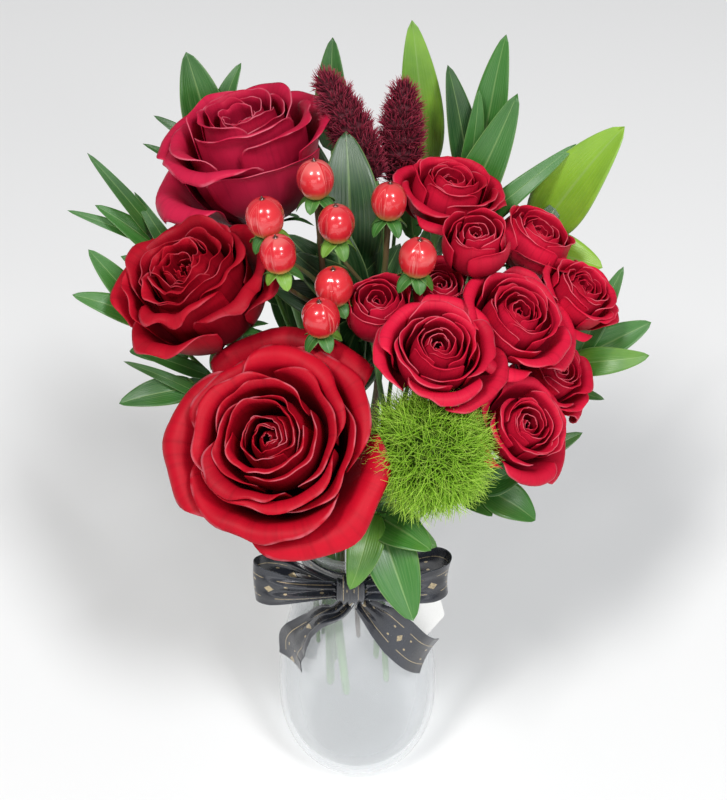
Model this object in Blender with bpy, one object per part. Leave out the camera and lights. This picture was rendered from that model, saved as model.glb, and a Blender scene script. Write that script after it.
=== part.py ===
"""Roses in a vase: a front-facing bouquet standing in a clear glass bottle vase.

Three large garden roses, ten spray roses, eight hypericum berries, a moss dianthus, two dyed grass
heads and twelve sprigs of ruscus stand in a round-bellied vase with water in it. A satin bow with
two loops and two tails is tied round its neck, with a gift card tucked behind it.

Metres, +Z up. The origin is the middle of the vase's underside, and the bouquet faces -Y.
Places in the bouquet are written in millimetres from the middle of the vase's mouth.
"""
import math

import bmesh
import bpy
from mathutils import Matrix, Vector

MM = 0.001

# Gap between pieces that touch.
CLEARANCE = 0.0003

# Vase.
VASE_HEIGHT = 0.194
BULB_RADIUS = 0.048
BULB_HEIGHT = 0.048
BASE_RADIUS = 0.023
NECK_RADIUS = 0.031
NECK_DROP = 0.022
RIM_FLARE = 0.005
SHOULDER_FULLNESS = 1.15
GLASS_WALL = 0.003
GLASS_FLOOR = 0.006
GLASS_SIDES = 24
WATER_LEVEL = 0.091

# Flower heads.
ROSE_RADIUS = 0.043
SPRAY_RADIUS = 0.022
BERRY_RADIUS = 0.008
DIANTHUS_RADIUS = 0.026
GRASS_RADIUS = 0.009

# Depth of a bloom's cup as a share of its radius, and the radius where its stem widens to meet it.
ROSE_BASE = 0.72
SPRAY_BASE = 0.86
ROSE_HIP = 0.0062
SPRAY_HIP = 0.0040
HIP_LENGTH = 0.007

# Stems.
ROSE_STEM = 0.0030
SPRAY_STEM = 0.0023
HYPERICUM_STEM = 0.0017
DIANTHUS_STEM = 0.0018
GRASS_STEM = 0.0012
RUSCUS_STEM = 0.0012
STALK_THINNING = 0.72
STEM_TWIST = math.radians(25)
STEM_SPLAY = 1.15
FOOT_HEIGHT = 0.050
STEM_SIDES = 6
STEM_STEPS = 6
STALK_STEPS = 4

# Leaves: half-width along the leaf as shares of the greatest half-width, fold along the midrib
# as a share of the half-width, and arch as a share of the length.
LEAF_THICKNESS = 0.0009
LEAF_OUTLINE = ((0.0, 0.12), (0.18, 0.50), (0.45, 1.0), (0.75, 0.68))
LEAF_FOLD = 0.18
LEAF_BEND = 0.08

# Ribbon and card.
RIBBON_WIDTH = 0.023
RIBBON_THICKNESS = 0.0008
BAND_HEIGHT = 0.016
KNOT_SIZE = Vector((0.017, 0.010, 0.019))
KNOT_SHIFT = -0.003
KNOT_LIFT = 0.002
LOOP_LENGTH = 0.045
LOOP_OPENING = 0.015
# Way that each loop runs out from the knot, and the way across its ribbon.
LEFT_LOOP = ((-0.93, 0.34, -0.12), (0.0, 0.30, 0.95))
RIGHT_LOOP = ((0.93, 0.34, 0.02), (0.05, 0.15, 0.98))
# Route of each tail: degrees round the vase, millimetres under the tie and out from the glass.
LEFT_TAIL = ((255, 16, 9), (243, 23, 9), (231, 36, 7), (220, 52, 7), (215, 62, 6), (217, 72, 5))
RIGHT_TAIL = ((282, 16, 9), (290, 24, 10), (300, 37, 11), (310, 51, 11), (318, 60, 10), (325, 66, 9))
CARD_SIZE = Vector((0.040, 0.034, 0.0006))
CARD_ANGLE = math.radians(318)
CARD_DROP = 0.046
CARD_SHIFT = 0.009
CARD_TURN = math.radians(8)
CARD_LEAN = math.radians(10)
CARD_STAND_OFF = 0.0014

# Nominal sizes that the spacing was drawn for: a wider bloom or mouth spreads the bouquet, and
# a wider ribbon moves its tails down and apart.
DRAWN_ROSE = 0.043
DRAWN_SPRAY = 0.022
DRAWN_BERRY = 0.008
DRAWN_DIANTHUS = 0.026
DRAWN_NECK = 0.031
DRAWN_RIBBON = 0.023
SPREAD = max(
    ROSE_RADIUS / DRAWN_ROSE,
    SPRAY_RADIUS / DRAWN_SPRAY,
    BERRY_RADIUS / DRAWN_BERRY,
    DIANTHUS_RADIUS / DRAWN_DIANTHUS,
    NECK_RADIUS / DRAWN_NECK,
)

UP = Vector((0, 0, 1))
FRONT = Vector((0, -0.64, 0.77))
MOUTH = Vector((0, 0, VASE_HEIGHT))
NECK_HEIGHT = VASE_HEIGHT - NECK_DROP
NECK_BORE = NECK_RADIUS - GLASS_WALL
TIE_HEIGHT = NECK_HEIGHT + 0.006

# Large roses: place of the bloom's middle, radius as a share of ROSE_RADIUS,
# stem's place in the neck (share of the bore, degrees) and the height where it is cut.
ROSES = {
    "front": ((-35, -56, 105), 1.07, (0.84, 235), 0.074),
    "left": ((-74, 5, 150), 0.93, (0.58, 185), 0.062),
    "top": ((-53, 72, 183), 1.00, (0.58, 120), 0.060),
}

# Spray rose stems: place in the neck, cut height, and heads as (name, place, radius share,
# height share, lean from 0 upright to 1 facing away from the mouth, share of the stem below
# its stalk).
SPRAYS = {
    "upper": ((0.58, 28), 0.058, (
        ("2", (57, 14, 171), 0.72, 1.4, 0.0, 1.00),
        ("1", (45, 55, 171), 1.00, 1.0, 1.0, 0.62),
        ("3", (91, 57, 142), 0.90, 1.1, 1.0, 0.50),
        ("4", (111, 26, 131), 0.85, 1.1, 1.0, 0.44),
    )),
    "right": ((0.84, 350), 0.120, (
        ("5", (75, -7, 140), 1.05, 1.0, 1.0, 1.00),
        ("6", (97, 3, 99), 0.92, 1.0, 1.0, 0.45),
        ("7", (79, -35, 97), 0.90, 1.0, 1.0, 0.42),
    )),
    "middle": ((0.58, 320), 0.060, (
        ("8", (37, -33, 141), 1.02, 1.0, 0.7, 1.00),
        ("9", (10, -5, 147), 0.72, 1.4, 0.5, 0.42),
        ("10", (40, 9, 146), 0.60, 1.3, 0.5, 0.55),
    )),
}

# Hypericum sprigs: place in the neck, cut height, and berries as (name, place, leaving share).
HYPERICUM = {
    "left": ((0.30, 160), 0.110, (
        ("1", (-19, 30, 194), 1.00),
        ("2", (-41, 0, 192), 0.74),
        ("3", (-35, -12, 180), 0.66),
    )),
    "middle": ((0.30, 40), 0.115, (
        ("7", (16, 30, 182), 1.00),
        ("4", (-9, 15, 179), 0.72),
        ("8", (29, 0, 170), 0.70),
    )),
    "front": ((0.30, 260), 0.105, (
        ("5", (-10, -9, 160), 1.00),
        ("6", (-16, -24, 153), 0.74),
    )),
}

DIANTHUS = ((34, -54, 97), (0.84, 290), 0.125)

# Grass heads: foot and tip of the plume, place in the neck, cut height.
GRASSES = {
    "left": ((10, 68, 172), (-18, 86, 224), (0.58, 92), 0.130),
    "right": ((22, 80, 161), (24, 92, 216), (0.58, 66), 0.135),
}

# Ruscus sprigs: place in the neck, cut height, end of the stem, and leaves as
# (share of the stem where the leaf leaves it, tip, width).
RUSCUS = {
    "left_upper": ((0.84, 165), 0.112, (-101, 52, 150), (
        (1.00, (-128, 45, 200), 7), (0.93, (-128, 45, 171), 12),
        (0.96, (-142, 45, 168), 6), (0.86, (-117, 36, 147), 11), (0.70, (-100, 60, 124), 12),
    )),
    "left_mid": ((0.84, 190), 0.103, (-112, 27, 126), (
        (1.00, (-131, 30, 155), 12), (0.92, (-140, 20, 135), 13),
        (0.97, (-129, 32, 146), 6), (0.72, (-112, 12, 106), 8), (0.56, (-90, 34, 70), 14),
    )),
    "left_low": ((0.84, 212), 0.140, (-84, 0, 98), (
        (1.00, (-118, -10, 90), 14), (0.94, (-76, -20, 80), 12),
        (0.90, (-115, 0, 109), 6), (0.60, (-68, -18, 50), 14),
    )),
    "back_left": ((0.84, 125), 0.080, (-80, 124, 169), (
        (1.00, (-88, 126, 213), 24), (0.96, (-60, 128, 206), 12),
        (0.92, (-106, 112, 184), 7), (0.86, (-112, 104, 172), 7),
        (0.70, (-96, 104, 140), 14), (0.54, (-48, 112, 104), 15),
    )),
    "back_middle": ((0.84, 95), 0.142, (-14, 120, 170), (
        (1.00, (-12, 124, 222), 17), (0.84, (-40, 132, 178), 14),
        (0.70, (4, 120, 158), 14), (0.50, (-26, 100, 104), 15),
    )),
    "back": ((0.58, 46), 0.146, (40, 114, 162), (
        (1.00, (28, 118, 234), 22), (0.80, (22, 126, 176), 15),
        (0.66, (58, 112, 146), 14), (0.46, (38, 92, 96), 14),
    )),
    "back_right": ((0.84, 50), 0.138, (67, 104, 169), (
        (1.00, (75, 110, 230), 18), (0.95, (46, 105, 216), 15),
        (0.91, (62, 98, 206), 9), (0.82, (80, 86, 210), 22),
        (0.78, (112, 86, 182), 10), (0.58, (96, 98, 136), 14),
    )),
    "right_upper": ((0.84, 24), 0.144, (101, 90, 135), (
        (1.00, (134, 80, 195), 31), (0.92, (128, 58, 125), 20),
        (0.74, (112, 96, 112), 14), (0.56, (92, 76, 84), 14),
    )),
    "right": ((0.84, 5), 0.136, (120, 32, 90), (
        (1.00, (152, 35, 107), 16), (0.95, (150, 20, 97), 14),
        (0.97, (136, 46, 134), 11), (0.84, (128, 10, 76), 7), (0.62, (100, 42, 56), 14),
    )),
    "right_low": ((0.84, 325), 0.148, (72, -18, 44), (
        (1.00, (117, 0, 62), 13), (0.90, (92, -10, 51), 17),
        (0.94, (93, -27, 25), 18), (0.80, (70, -30, 31), 9),
    )),
    "front": ((0.84, 268), 0.150, (10, -54, 58), (
        (1.00, (-3, -82, 33), 17), (0.97, (28, -88, 17), 26),
        (0.94, (36, -76, 54), 20), (0.90, (40, -60, 40), 14),
        (0.82, (-20, -50, 31), 9),
    )),
    "inner": ((0.58, 150), 0.152, (-2, 40, 142), (
        (1.00, (-5, 66, 196), 22), (0.90, (-34, 36, 160), 12),
        (0.84, (-42, 34, 130), 12), (0.76, (-26, 4, 136), 12),
        (0.66, (24, 48, 120), 14),
    )),
}

# Colours (linear RGB), roughness and metallic value of each finish.
FINISHES = {
    "glass": ((0.86, 0.89, 0.90), 0.05, 0.0),
    "water": ((0.78, 0.85, 0.86), 0.03, 0.0),
    "satin": ((0.035, 0.042, 0.055), 0.30, 0.0),
    "card": ((0.86, 0.86, 0.84), 0.60, 0.0),
    "rose": ((0.33, 0.004, 0.012), 0.55, 0.0),
    "spray": ((0.50, 0.006, 0.030), 0.50, 0.0),
    "berry": ((0.58, 0.020, 0.025), 0.18, 0.0),
    "dianthus": ((0.22, 0.42, 0.020), 0.70, 0.0),
    "grass": ((0.10, 0.004, 0.012), 0.80, 0.0),
    "stem": ((0.10, 0.22, 0.045), 0.50, 0.0),
    "leaf": ((0.035, 0.16, 0.020), 0.35, 0.0),
}


def clear_scene():
    """Remove every object, so that the part starts from nothing."""
    for thing in list(bpy.data.objects):
        bpy.data.objects.remove(thing, do_unlink=True)


def at_mouth(place):
    """Place in the bouquet, from millimetres off the middle of the mouth."""
    return MOUTH + Vector(place) * MM * SPREAD


def finish_material(name, finish):
    """Principled material of one piece."""
    colour, roughness, metallic = FINISHES[finish]
    material = bpy.data.materials.new(name)
    material.use_nodes = True
    shader = material.node_tree.nodes["Principled BSDF"]
    shader.inputs["Base Color"].default_value = (*colour, 1.0)
    shader.inputs["Roughness"].default_value = roughness
    shader.inputs["Metallic"].default_value = metallic
    material.diffuse_color = (*colour, 1.0)
    return material


def make_object(name, mesh, finish=None):
    """Put a mesh in the scene as a named piece, shaded smooth up to 40 degrees."""
    thing = bpy.data.objects.new(name, mesh)
    bpy.context.scene.collection.objects.link(thing)
    if finish:
        mesh.materials.clear()
        mesh.materials.append(finish_material(name, finish))
        mesh.shade_smooth()
        mesh.set_sharp_from_angle(angle=math.radians(40))
    return thing


def combine(name, base, tools, operation, finish):
    """Boolean of one mesh with others, left as a piece of its own."""
    body = make_object(name, base)
    for tool in tools:
        cutter = make_object(name + "_tool", tool)
        boolean = body.modifiers.new("combine", "BOOLEAN")
        boolean.operation = operation
        boolean.solver = "EXACT"
        boolean.object = cutter
        evaluated = body.evaluated_get(bpy.context.evaluated_depsgraph_get())
        result = bpy.data.meshes.new_from_object(evaluated)
        body.modifiers.clear()
        body.data = result
        bpy.data.objects.remove(cutter, do_unlink=True)
    mesh = body.data
    bpy.data.objects.remove(body, do_unlink=True)
    return make_object(name, mesh, finish)


def close_mesh(name, points, faces):
    """Mesh of a closed body, with its faces turned outwards and cut into triangles."""
    mesh = bpy.data.meshes.new(name)
    mesh.from_pydata([tuple(point) for point in points], [], faces)
    shape = bmesh.new()
    shape.from_mesh(mesh)
    bmesh.ops.recalc_face_normals(shape, faces=shape.faces)
    bmesh.ops.triangulate(shape, faces=shape.faces)
    shape.to_mesh(mesh)
    shape.free()
    return mesh


def stitch(rings, closed_ends):
    """Faces that join equal rings of points in turn, with a cap or a pole at each end."""
    points = []
    spans = []
    for ring in rings:
        spans.append((len(points), len(ring)))
        points.extend(ring)
    faces = []
    for (start, count), (after, after_count) in zip(spans, spans[1:]):
        sides = max(count, after_count)
        for side in range(sides):
            near, far = side, (side + 1) % sides
            if count == 1:
                faces.append((start, after + near, after + far))
            elif after_count == 1:
                faces.append((start + near, start + far, after))
            else:
                faces.append((start + near, start + far, after + far, after + near))
    if closed_ends:
        for start, count in (spans[0], spans[-1]):
            if count > 2:
                faces.append(tuple(range(start, start + count)))
    return points, faces


def turned_mesh(name, outline, sides, wobble=None):
    """Body turned about Z from an outline of (radius, height), whose ends lie on the axis."""
    rings = []
    for station, (radius, height) in enumerate(outline):
        if radius == 0:
            rings.append([Vector((0, 0, height))])
            continue
        ring = []
        for side in range(sides):
            angle = 2 * math.pi * side / sides
            grow, lift = wobble(station, angle) if wobble else (1.0, 0.0)
            reach = radius * grow
            ring.append(Vector((reach * math.cos(angle), reach * math.sin(angle), height + lift)))
        rings.append(ring)
    return close_mesh(name, *stitch(rings, False))


def aim(mesh, centre, axis):
    """Turn a mesh so that its Z lies along an axis, and move it to its place."""
    turn = axis.to_track_quat("Z", "Y").to_matrix().to_4x4()
    mesh.transform(Matrix.Translation(centre) @ turn)
    return mesh


def tube_mesh(name, path, radii, sides):
    """Round bar along a path, with a radius at each point and flat ends."""
    tangents = []
    for number in range(len(path)):
        before = path[max(number - 1, 0)]
        after = path[min(number + 1, len(path) - 1)]
        tangents.append((after - before).normalized())
    normal = tangents[0].orthogonal().normalized()
    rings = []
    for number, point in enumerate(path):
        if number:
            normal = tangents[number - 1].rotation_difference(tangents[number]) @ normal
        binormal = tangents[number].cross(normal)
        ring = []
        for side in range(sides):
            angle = 2 * math.pi * side / sides
            spoke = normal * math.cos(angle) + binormal * math.sin(angle)
            ring.append(point + spoke * radii[number])
        rings.append(ring)
    return close_mesh(name, *stitch(rings, True))


def strip_mesh(name, path, crosswise, width, thickness):
    """Flat ribbon along a path, with the direction across it given at each point."""
    rings = []
    for number, point in enumerate(path):
        before = path[max(number - 1, 0)]
        after = path[min(number + 1, len(path) - 1)]
        tangent = (after - before).normalized()
        across = crosswise[number]
        across = (across - tangent * across.dot(tangent)).normalized()
        normal = tangent.cross(across) * thickness / 2
        reach = across * width / 2
        rings.append([point - reach - normal, point + reach - normal,
                      point + reach + normal, point - reach + normal])
    return close_mesh(name, *stitch(rings, True))


def bezier(start, start_pull, end_pull, end, steps):
    """Points of a cubic curve, both ends included."""
    points = []
    for step in range(steps + 1):
        share = step / steps
        rest = 1 - share
        points.append(start * rest ** 3 + start_pull * 3 * rest ** 2 * share
                      + end_pull * 3 * rest * share ** 2 + end * share ** 3)
    return points


# ---------------------------------------------------------------- vase and water

def outer_radius(height):
    """Outer radius of the glass at a height."""
    if height <= BULB_HEIGHT:
        drop = 1 - height / BULB_HEIGHT
        return BASE_RADIUS + (BULB_RADIUS - BASE_RADIUS) * math.sqrt(max(0.0, 1 - drop ** 2))
    if height <= NECK_HEIGHT:
        share = ((height - BULB_HEIGHT) / (NECK_HEIGHT - BULB_HEIGHT)) ** SHOULDER_FULLNESS
        return NECK_RADIUS + (BULB_RADIUS - NECK_RADIUS) * (0.5 + 0.5 * math.cos(math.pi * share))
    share = (height - NECK_HEIGHT) / NECK_DROP
    return NECK_RADIUS + RIM_FLARE * (1 - math.cos(share * math.pi / 2))


def inner_radius(height):
    """Radius of the hollow at a height, with a rounded bottom inside the glass floor."""
    wall_radius = outer_radius(height) - GLASS_WALL
    if height >= BULB_HEIGHT:
        return wall_radius
    drop = 1 - (height - GLASS_FLOOR) / (BULB_HEIGHT - GLASS_FLOOR)
    floor_radius = BASE_RADIUS - GLASS_WALL
    reach = BULB_RADIUS - GLASS_WALL - floor_radius
    return floor_radius + reach * math.sqrt(max(0.0, 1 - drop ** 2))


def bulb_heights(bottom):
    """Heights that step evenly round the bulb's lower curve."""
    turns = 5
    return [bottom + (BULB_HEIGHT - bottom) * (1 - math.cos(math.pi / 2 * turn / turns))
            for turn in range(turns + 1)]


def neck_heights():
    """Heights from above the bulb to just under the lip."""
    steps = 6
    rise = [BULB_HEIGHT + (NECK_HEIGHT - BULB_HEIGHT) * step / steps for step in range(1, steps + 1)]
    lip = VASE_HEIGHT - GLASS_WALL / 2
    return rise + [NECK_HEIGHT + (lip - NECK_HEIGHT) * 0.6, lip]


def make_vase():
    """Glass bottle vase with a flat base, a round bulb and a flared neck."""
    outline = [(0.0, 0.0)]
    outline += [(outer_radius(height), height) for height in bulb_heights(0.0) + neck_heights()]
    lip = VASE_HEIGHT - GLASS_WALL / 2
    outline.append(((outer_radius(lip) + inner_radius(lip)) / 2, VASE_HEIGHT))
    inside = bulb_heights(GLASS_FLOOR) + neck_heights()
    outline += [(inner_radius(height), height) for height in reversed(inside)]
    outline.append((0.0, GLASS_FLOOR))
    return make_object("vase", turned_mesh("vase", outline, GLASS_SIDES), "glass")


def make_water(stems):
    """Water in the vase, with a clear hole round each stem that stands in it."""
    gap = CLEARANCE * 1.5
    top = WATER_LEVEL - gap
    heights = bulb_heights(GLASS_FLOOR)
    heights += [height for height in neck_heights() if height < top] + [top]
    outline = [(0.0, GLASS_FLOOR + gap)]
    outline += [(inner_radius(height) - gap, height + gap) for height in heights]
    outline.append((0.0, WATER_LEVEL))
    body = turned_mesh("water", outline, GLASS_SIDES)
    cutters = []
    for path, radius in stems:
        if path[0].z > WATER_LEVEL + radius:
            continue
        below = (path[0] - path[1]).normalized()
        reach = radius + CLEARANCE
        hole = [path[0] + below * CLEARANCE, path[1]]
        cutters.append(tube_mesh("hole", hole, [reach, reach], STEM_SIDES))
    return combine("water", body, cutters, "DIFFERENCE", "water")


# ---------------------------------------------------------------- stems

def neck_point(place):
    """Point in the vase's neck from a share of the bore and an angle in degrees."""
    share, degrees = place
    angle = math.radians(degrees)
    reach = NECK_BORE * share
    return Vector((reach * math.cos(angle), reach * math.sin(angle), NECK_HEIGHT))


def foot_point(place, height):
    """Point where a stem is cut: stems turn a little about the axis and splay on the way down."""
    share, degrees = place
    neck = neck_point(place)
    angle = math.radians(degrees) + STEM_TWIST
    reach = NECK_BORE * share * STEM_SPLAY
    full = Vector((reach * math.cos(angle), reach * math.sin(angle), FOOT_HEIGHT))
    return neck.lerp(full, (NECK_HEIGHT - height) / (NECK_HEIGHT - FOOT_HEIGHT))


def stem_path(place, cut_height, end, axis):
    """Stem from its cut foot, through the neck, to a head that faces along an axis."""
    foot = foot_point(place, cut_height)
    neck = neck_point(place)
    pull = (end - neck).length * 0.38
    rise = ((neck - foot).normalized() + UP).normalized()
    upper = bezier(neck, neck + rise * pull, end - axis * pull, end, STEM_STEPS)
    return [foot] + upper


def stem_radii(path, radius, hip):
    """Even radius along a stem, widened to the hip that carries the head."""
    radii = [radius] * len(path)
    radii[-1] = hip
    return radii


def with_hip(path, axis):
    """Path with one more point just below its end, where the hip starts to widen."""
    return path[:-1] + [path[-1] - axis * HIP_LENGTH, path[-1]]


def stalk_path(trunk, share, end, axis):
    """Side stalk that leaves the trunk at a share of its upper part and ends under a head."""
    upper = trunk[1:]
    place = share * (len(upper) - 1)
    number = min(int(place), len(upper) - 2)
    start = upper[number].lerp(upper[number + 1], place - number)
    along = (upper[number + 1] - upper[number]).normalized()
    pull = (end - start).length * 0.35
    return bezier(start, start + along * pull, end - axis * pull, end, STALK_STEPS)


def make_stem(name, place, cut_height, ends, radius, hip):
    """Stem with a trunk to its first end and a side stalk to each other one."""
    first_end, first_axis, _ = ends[0]
    trunk = stem_path(place, cut_height, first_end, first_axis)
    path = with_hip(trunk, first_axis)
    base = tube_mesh(name, path, stem_radii(path, radius, hip), STEM_SIDES)
    tools = []
    for end, axis, share in ends[1:]:
        stalk = with_hip(stalk_path(trunk, share, end, axis), axis)
        thin = radius * STALK_THINNING
        tools.append(tube_mesh(name, stalk, stem_radii(stalk, thin, hip), STEM_SIDES))
    combine(name, base, tools, "UNION", "stem")
    return trunk, radius


# ---------------------------------------------------------------- flower heads

def head_axis(centre, lean=1.0):
    """Heads face away from the mouth that their stems come out of, or stand up straighter."""
    return UP.lerp((centre - MOUTH).normalized(), lean).normalized()


def bloom_mesh(name, radius, height_share, rings, sides, base_depth, hip):
    """Rose: a round cup below, and rings of petal lips with grooves between them on top."""
    depth = base_depth * radius * height_share
    dome = 0.42 * radius * height_share
    outline = [(0.0, -depth), (hip, -depth)]
    turns = 4
    for turn in range(1, turns):
        angle = math.pi / 2 * turn / turns
        outline.append((hip + (radius - hip) * math.sin(angle) ** 0.9, -depth * math.cos(angle)))
    first_lip = len(outline)
    step = 0.84 / rings
    for ring in range(rings):
        lip = 1 - step * ring
        groove = lip - step * 0.55
        outline.append((radius * lip, dome * (1 - lip ** 2)))
        outline.append((radius * groove, dome * (1 - groove ** 2) - radius * 0.11))
    outline.append((0.0, dome * 0.92))

    def wobble(station, angle):
        if station < first_lip:
            return 1.0, 0.0
        ring = (station - first_lip) // 2
        wave = math.cos(5 * angle + ring * 2.4)
        is_lip = (station - first_lip) % 2 == 0
        return 1 + 0.035 * (wave - 1), (0.05 * radius * wave if is_lip else 0.0)

    return turned_mesh(name, outline, sides, wobble)


def make_large_rose(name, place, share, neck, cut_height):
    """Large rose: bloom and stem."""
    centre = at_mouth(place)
    axis = head_axis(centre)
    radius = ROSE_RADIUS * share
    bloom = bloom_mesh(name, radius, 1.0, 5, 20, ROSE_BASE, ROSE_HIP)
    make_object("rose_bloom_" + name, aim(bloom, centre, axis), "rose")
    end = centre - axis * (ROSE_BASE * radius + CLEARANCE)
    return make_stem("rose_stem_" + name, neck, cut_height, [(end, axis, 1.0)], ROSE_STEM, ROSE_HIP)


def make_spray(name, neck, cut_height, heads):
    """Spray rose: one branching stem and its blooms."""
    ends = []
    for head, place, share, height_share, lean, leaving in heads:
        centre = at_mouth(place)
        axis = head_axis(centre, lean)
        radius = SPRAY_RADIUS * share
        bloom = bloom_mesh(head, radius, height_share, 3, 12, SPRAY_BASE, SPRAY_HIP)
        make_object("spray_rose_bloom_" + head, aim(bloom, centre, axis), "spray")
        end = centre - axis * (SPRAY_BASE * radius * height_share + CLEARANCE)
        ends.append((end, axis, leaving))
    return make_stem("spray_rose_stem_" + name, neck, cut_height, ends, SPRAY_STEM, SPRAY_HIP)


def berry_mesh(name, radius):
    """Hypericum berry: an egg with a short style on top."""
    turns = 5
    outline = [(0.0, -radius)]
    for turn in range(1, turns):
        angle = math.pi * turn / turns
        outline.append((radius * 0.95 * math.sin(angle), -radius * 1.02 * math.cos(angle)))
    outline.append((radius * 0.12, radius * 1.02))
    outline.append((0.0, radius * 1.25))
    return turned_mesh(name, outline, 8)


def make_hypericum(name, neck, cut_height, berries):
    """Hypericum sprig: a branching stem with a berry on each stalk."""
    ends = []
    for berry, place, leaving in berries:
        centre = at_mouth(place)
        axis = head_axis(centre, 0.5)
        mesh = aim(berry_mesh(berry, BERRY_RADIUS), centre, axis)
        make_object("hypericum_berry_" + berry, mesh, "berry")
        ends.append((centre - axis * (BERRY_RADIUS + CLEARANCE), axis, leaving))
    hip = BERRY_RADIUS * 0.3
    return make_stem("hypericum_stem_" + name, neck, cut_height, ends, HYPERICUM_STEM, hip)


def make_dianthus():
    """Moss dianthus: a tufted ball on its stem."""
    place, neck, cut_height = DIANTHUS
    centre = at_mouth(place)
    axis = head_axis(centre)
    turns = 9
    outline = [(0.0, -DIANTHUS_RADIUS)]
    for turn in range(1, turns):
        angle = math.pi * turn / turns
        tuft = 1.0 if turn % 2 else 0.94
        reach = DIANTHUS_RADIUS * tuft
        outline.append((reach * math.sin(angle), -reach * math.cos(angle)))
    outline.append((0.0, DIANTHUS_RADIUS))

    def wobble(station, angle):
        return 1 + 0.03 * math.cos(8 * angle + station * math.pi), 0.0

    ball = turned_mesh("dianthus", outline, 16, wobble)
    make_object("dianthus_head", aim(ball, centre, axis), "dianthus")
    end = centre - axis * (DIANTHUS_RADIUS + CLEARANCE)
    return make_stem("dianthus_stem", neck, cut_height, [(end, axis, 1.0)], DIANTHUS_STEM, DIANTHUS_STEM * 1.4)


def make_grass(name, foot_place, tip_place, neck, cut_height):
    """Dyed grass head: a plume of tiered spikelets on a thin stem."""
    foot = at_mouth(foot_place)
    tip = at_mouth(tip_place)
    axis = (tip - foot).normalized()
    length = (tip - foot).length
    tiers = 5
    outline = [(0.0, 0.0), (GRASS_RADIUS * 0.35, 0.0)]
    for tier in range(tiers):
        share = (tier + 0.55) / tiers
        body = GRASS_RADIUS * math.sin(math.pi * (0.12 + 0.80 * share)) ** 0.6
        outline.append((body, length * share))
        outline.append((body * 0.80, length * (share + 0.25 / tiers)))
    outline.append((0.0, length))
    plume = turned_mesh(name, outline, 10)
    make_object("grass_head_" + name, aim(plume, foot, axis), "grass")
    along = (axis + head_axis(foot)).normalized()
    end = foot - axis * CLEARANCE - along * GRASS_STEM / 2
    return make_stem("grass_stem_" + name, neck, cut_height, [(end, along, 1.0)], GRASS_STEM, GRASS_STEM)


# ---------------------------------------------------------------- ruscus

def leaf_mesh(name, root, tip, width):
    """Pointed leaf, folded a little along its midrib, from its root on the stem to its tip."""
    along = tip - root
    length = along.length
    along.normalize()
    face = (FRONT - along * FRONT.dot(along)).normalized()
    side = along.cross(face)
    rings = []
    for share, breadth in LEAF_OUTLINE:
        arch = math.sin(math.pi * share) * length * LEAF_BEND
        middle = root + along * length * share + face * arch
        reach = width / 2 * breadth
        thick = LEAF_THICKNESS * (0.55 + 0.45 * breadth) / 2
        lift = face * reach * LEAF_FOLD
        rings.append([middle - side * reach + lift, middle + face * thick,
                      middle + side * reach + lift, middle - face * thick])
    rings.append([tip])
    return close_mesh(name, *stitch(rings, True))


def make_ruscus(name, neck, cut_height, end_place, leaves):
    """Ruscus sprig: one stem with its leaves grown on it."""
    end = at_mouth(end_place)
    axis = head_axis(end)
    trunk = stem_path(neck, cut_height, end, axis)
    radii = [RUSCUS_STEM] * len(trunk)
    radii[-1] = RUSCUS_STEM * 0.6
    node = "ruscus_" + name
    base = tube_mesh(node, trunk, radii, STEM_SIDES - 1)
    tools = []
    upper = trunk[1:]
    for share, tip_place, width in leaves:
        place = min(share, 0.985) * (len(upper) - 1)
        number = min(int(place), len(upper) - 2)
        root = upper[number].lerp(upper[number + 1], place - number)
        tools.append(leaf_mesh(node, root, at_mouth(tip_place), width * MM * SPREAD))
    combine(node, base, tools, "UNION", "leaf")
    return trunk, RUSCUS_STEM


# ---------------------------------------------------------------- ribbon and card

def band_outer():
    """Outer radius of the band, where it is widest."""
    return outer_radius(TIE_HEIGHT + BAND_HEIGHT / 2) + CLEARANCE + RIBBON_THICKNESS


def make_band():
    """Band of ribbon round the neck, following the glass."""
    steps = 2
    heights = [TIE_HEIGHT + BAND_HEIGHT * (step / steps - 0.5) for step in range(steps + 1)]
    inside = [(outer_radius(height) + CLEARANCE * 1.5, height) for height in heights]
    outside = [(radius + RIBBON_THICKNESS, height) for radius, height in reversed(inside)]
    rings = []
    for side in range(GLASS_SIDES):
        angle = 2 * math.pi * side / GLASS_SIDES
        rings.append([Vector((radius * math.cos(angle), radius * math.sin(angle), height))
                      for radius, height in inside + outside])
    rings.append(rings[0])
    points, faces = stitch(rings, False)
    count = len(rings[0])
    seam = len(points) - count
    faces = [tuple(corner - seam if corner >= seam else corner for corner in face) for face in faces]
    mesh = close_mesh("ribbon_band", points[:seam], faces)
    return make_object("ribbon_band", mesh, "satin")


def knot_centre():
    """Middle of the knot, in front of the band."""
    forward = band_outer() + CLEARANCE * 2 + KNOT_SIZE.y / 2
    return Vector((KNOT_SHIFT, -forward, TIE_HEIGHT + KNOT_LIFT))


def make_knot():
    """Knot of the bow: a rounded lump with a waist."""
    turns = 7
    outline = [(0.0, -0.5)]
    for turn in range(1, turns):
        angle = math.pi * turn / turns
        waist = 1 - 0.12 * math.sin(angle) ** 4
        outline.append((0.5 * math.sin(angle) ** 0.6 * waist, -0.5 * math.cos(angle)))
    outline.append((0.0, 0.5))
    mesh = turned_mesh("bow_knot", outline, 12)
    mesh.transform(Matrix.Translation(knot_centre()) @ Matrix.Diagonal((*KNOT_SIZE, 1.0)))
    return make_object("bow_knot", mesh, "satin")


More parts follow.
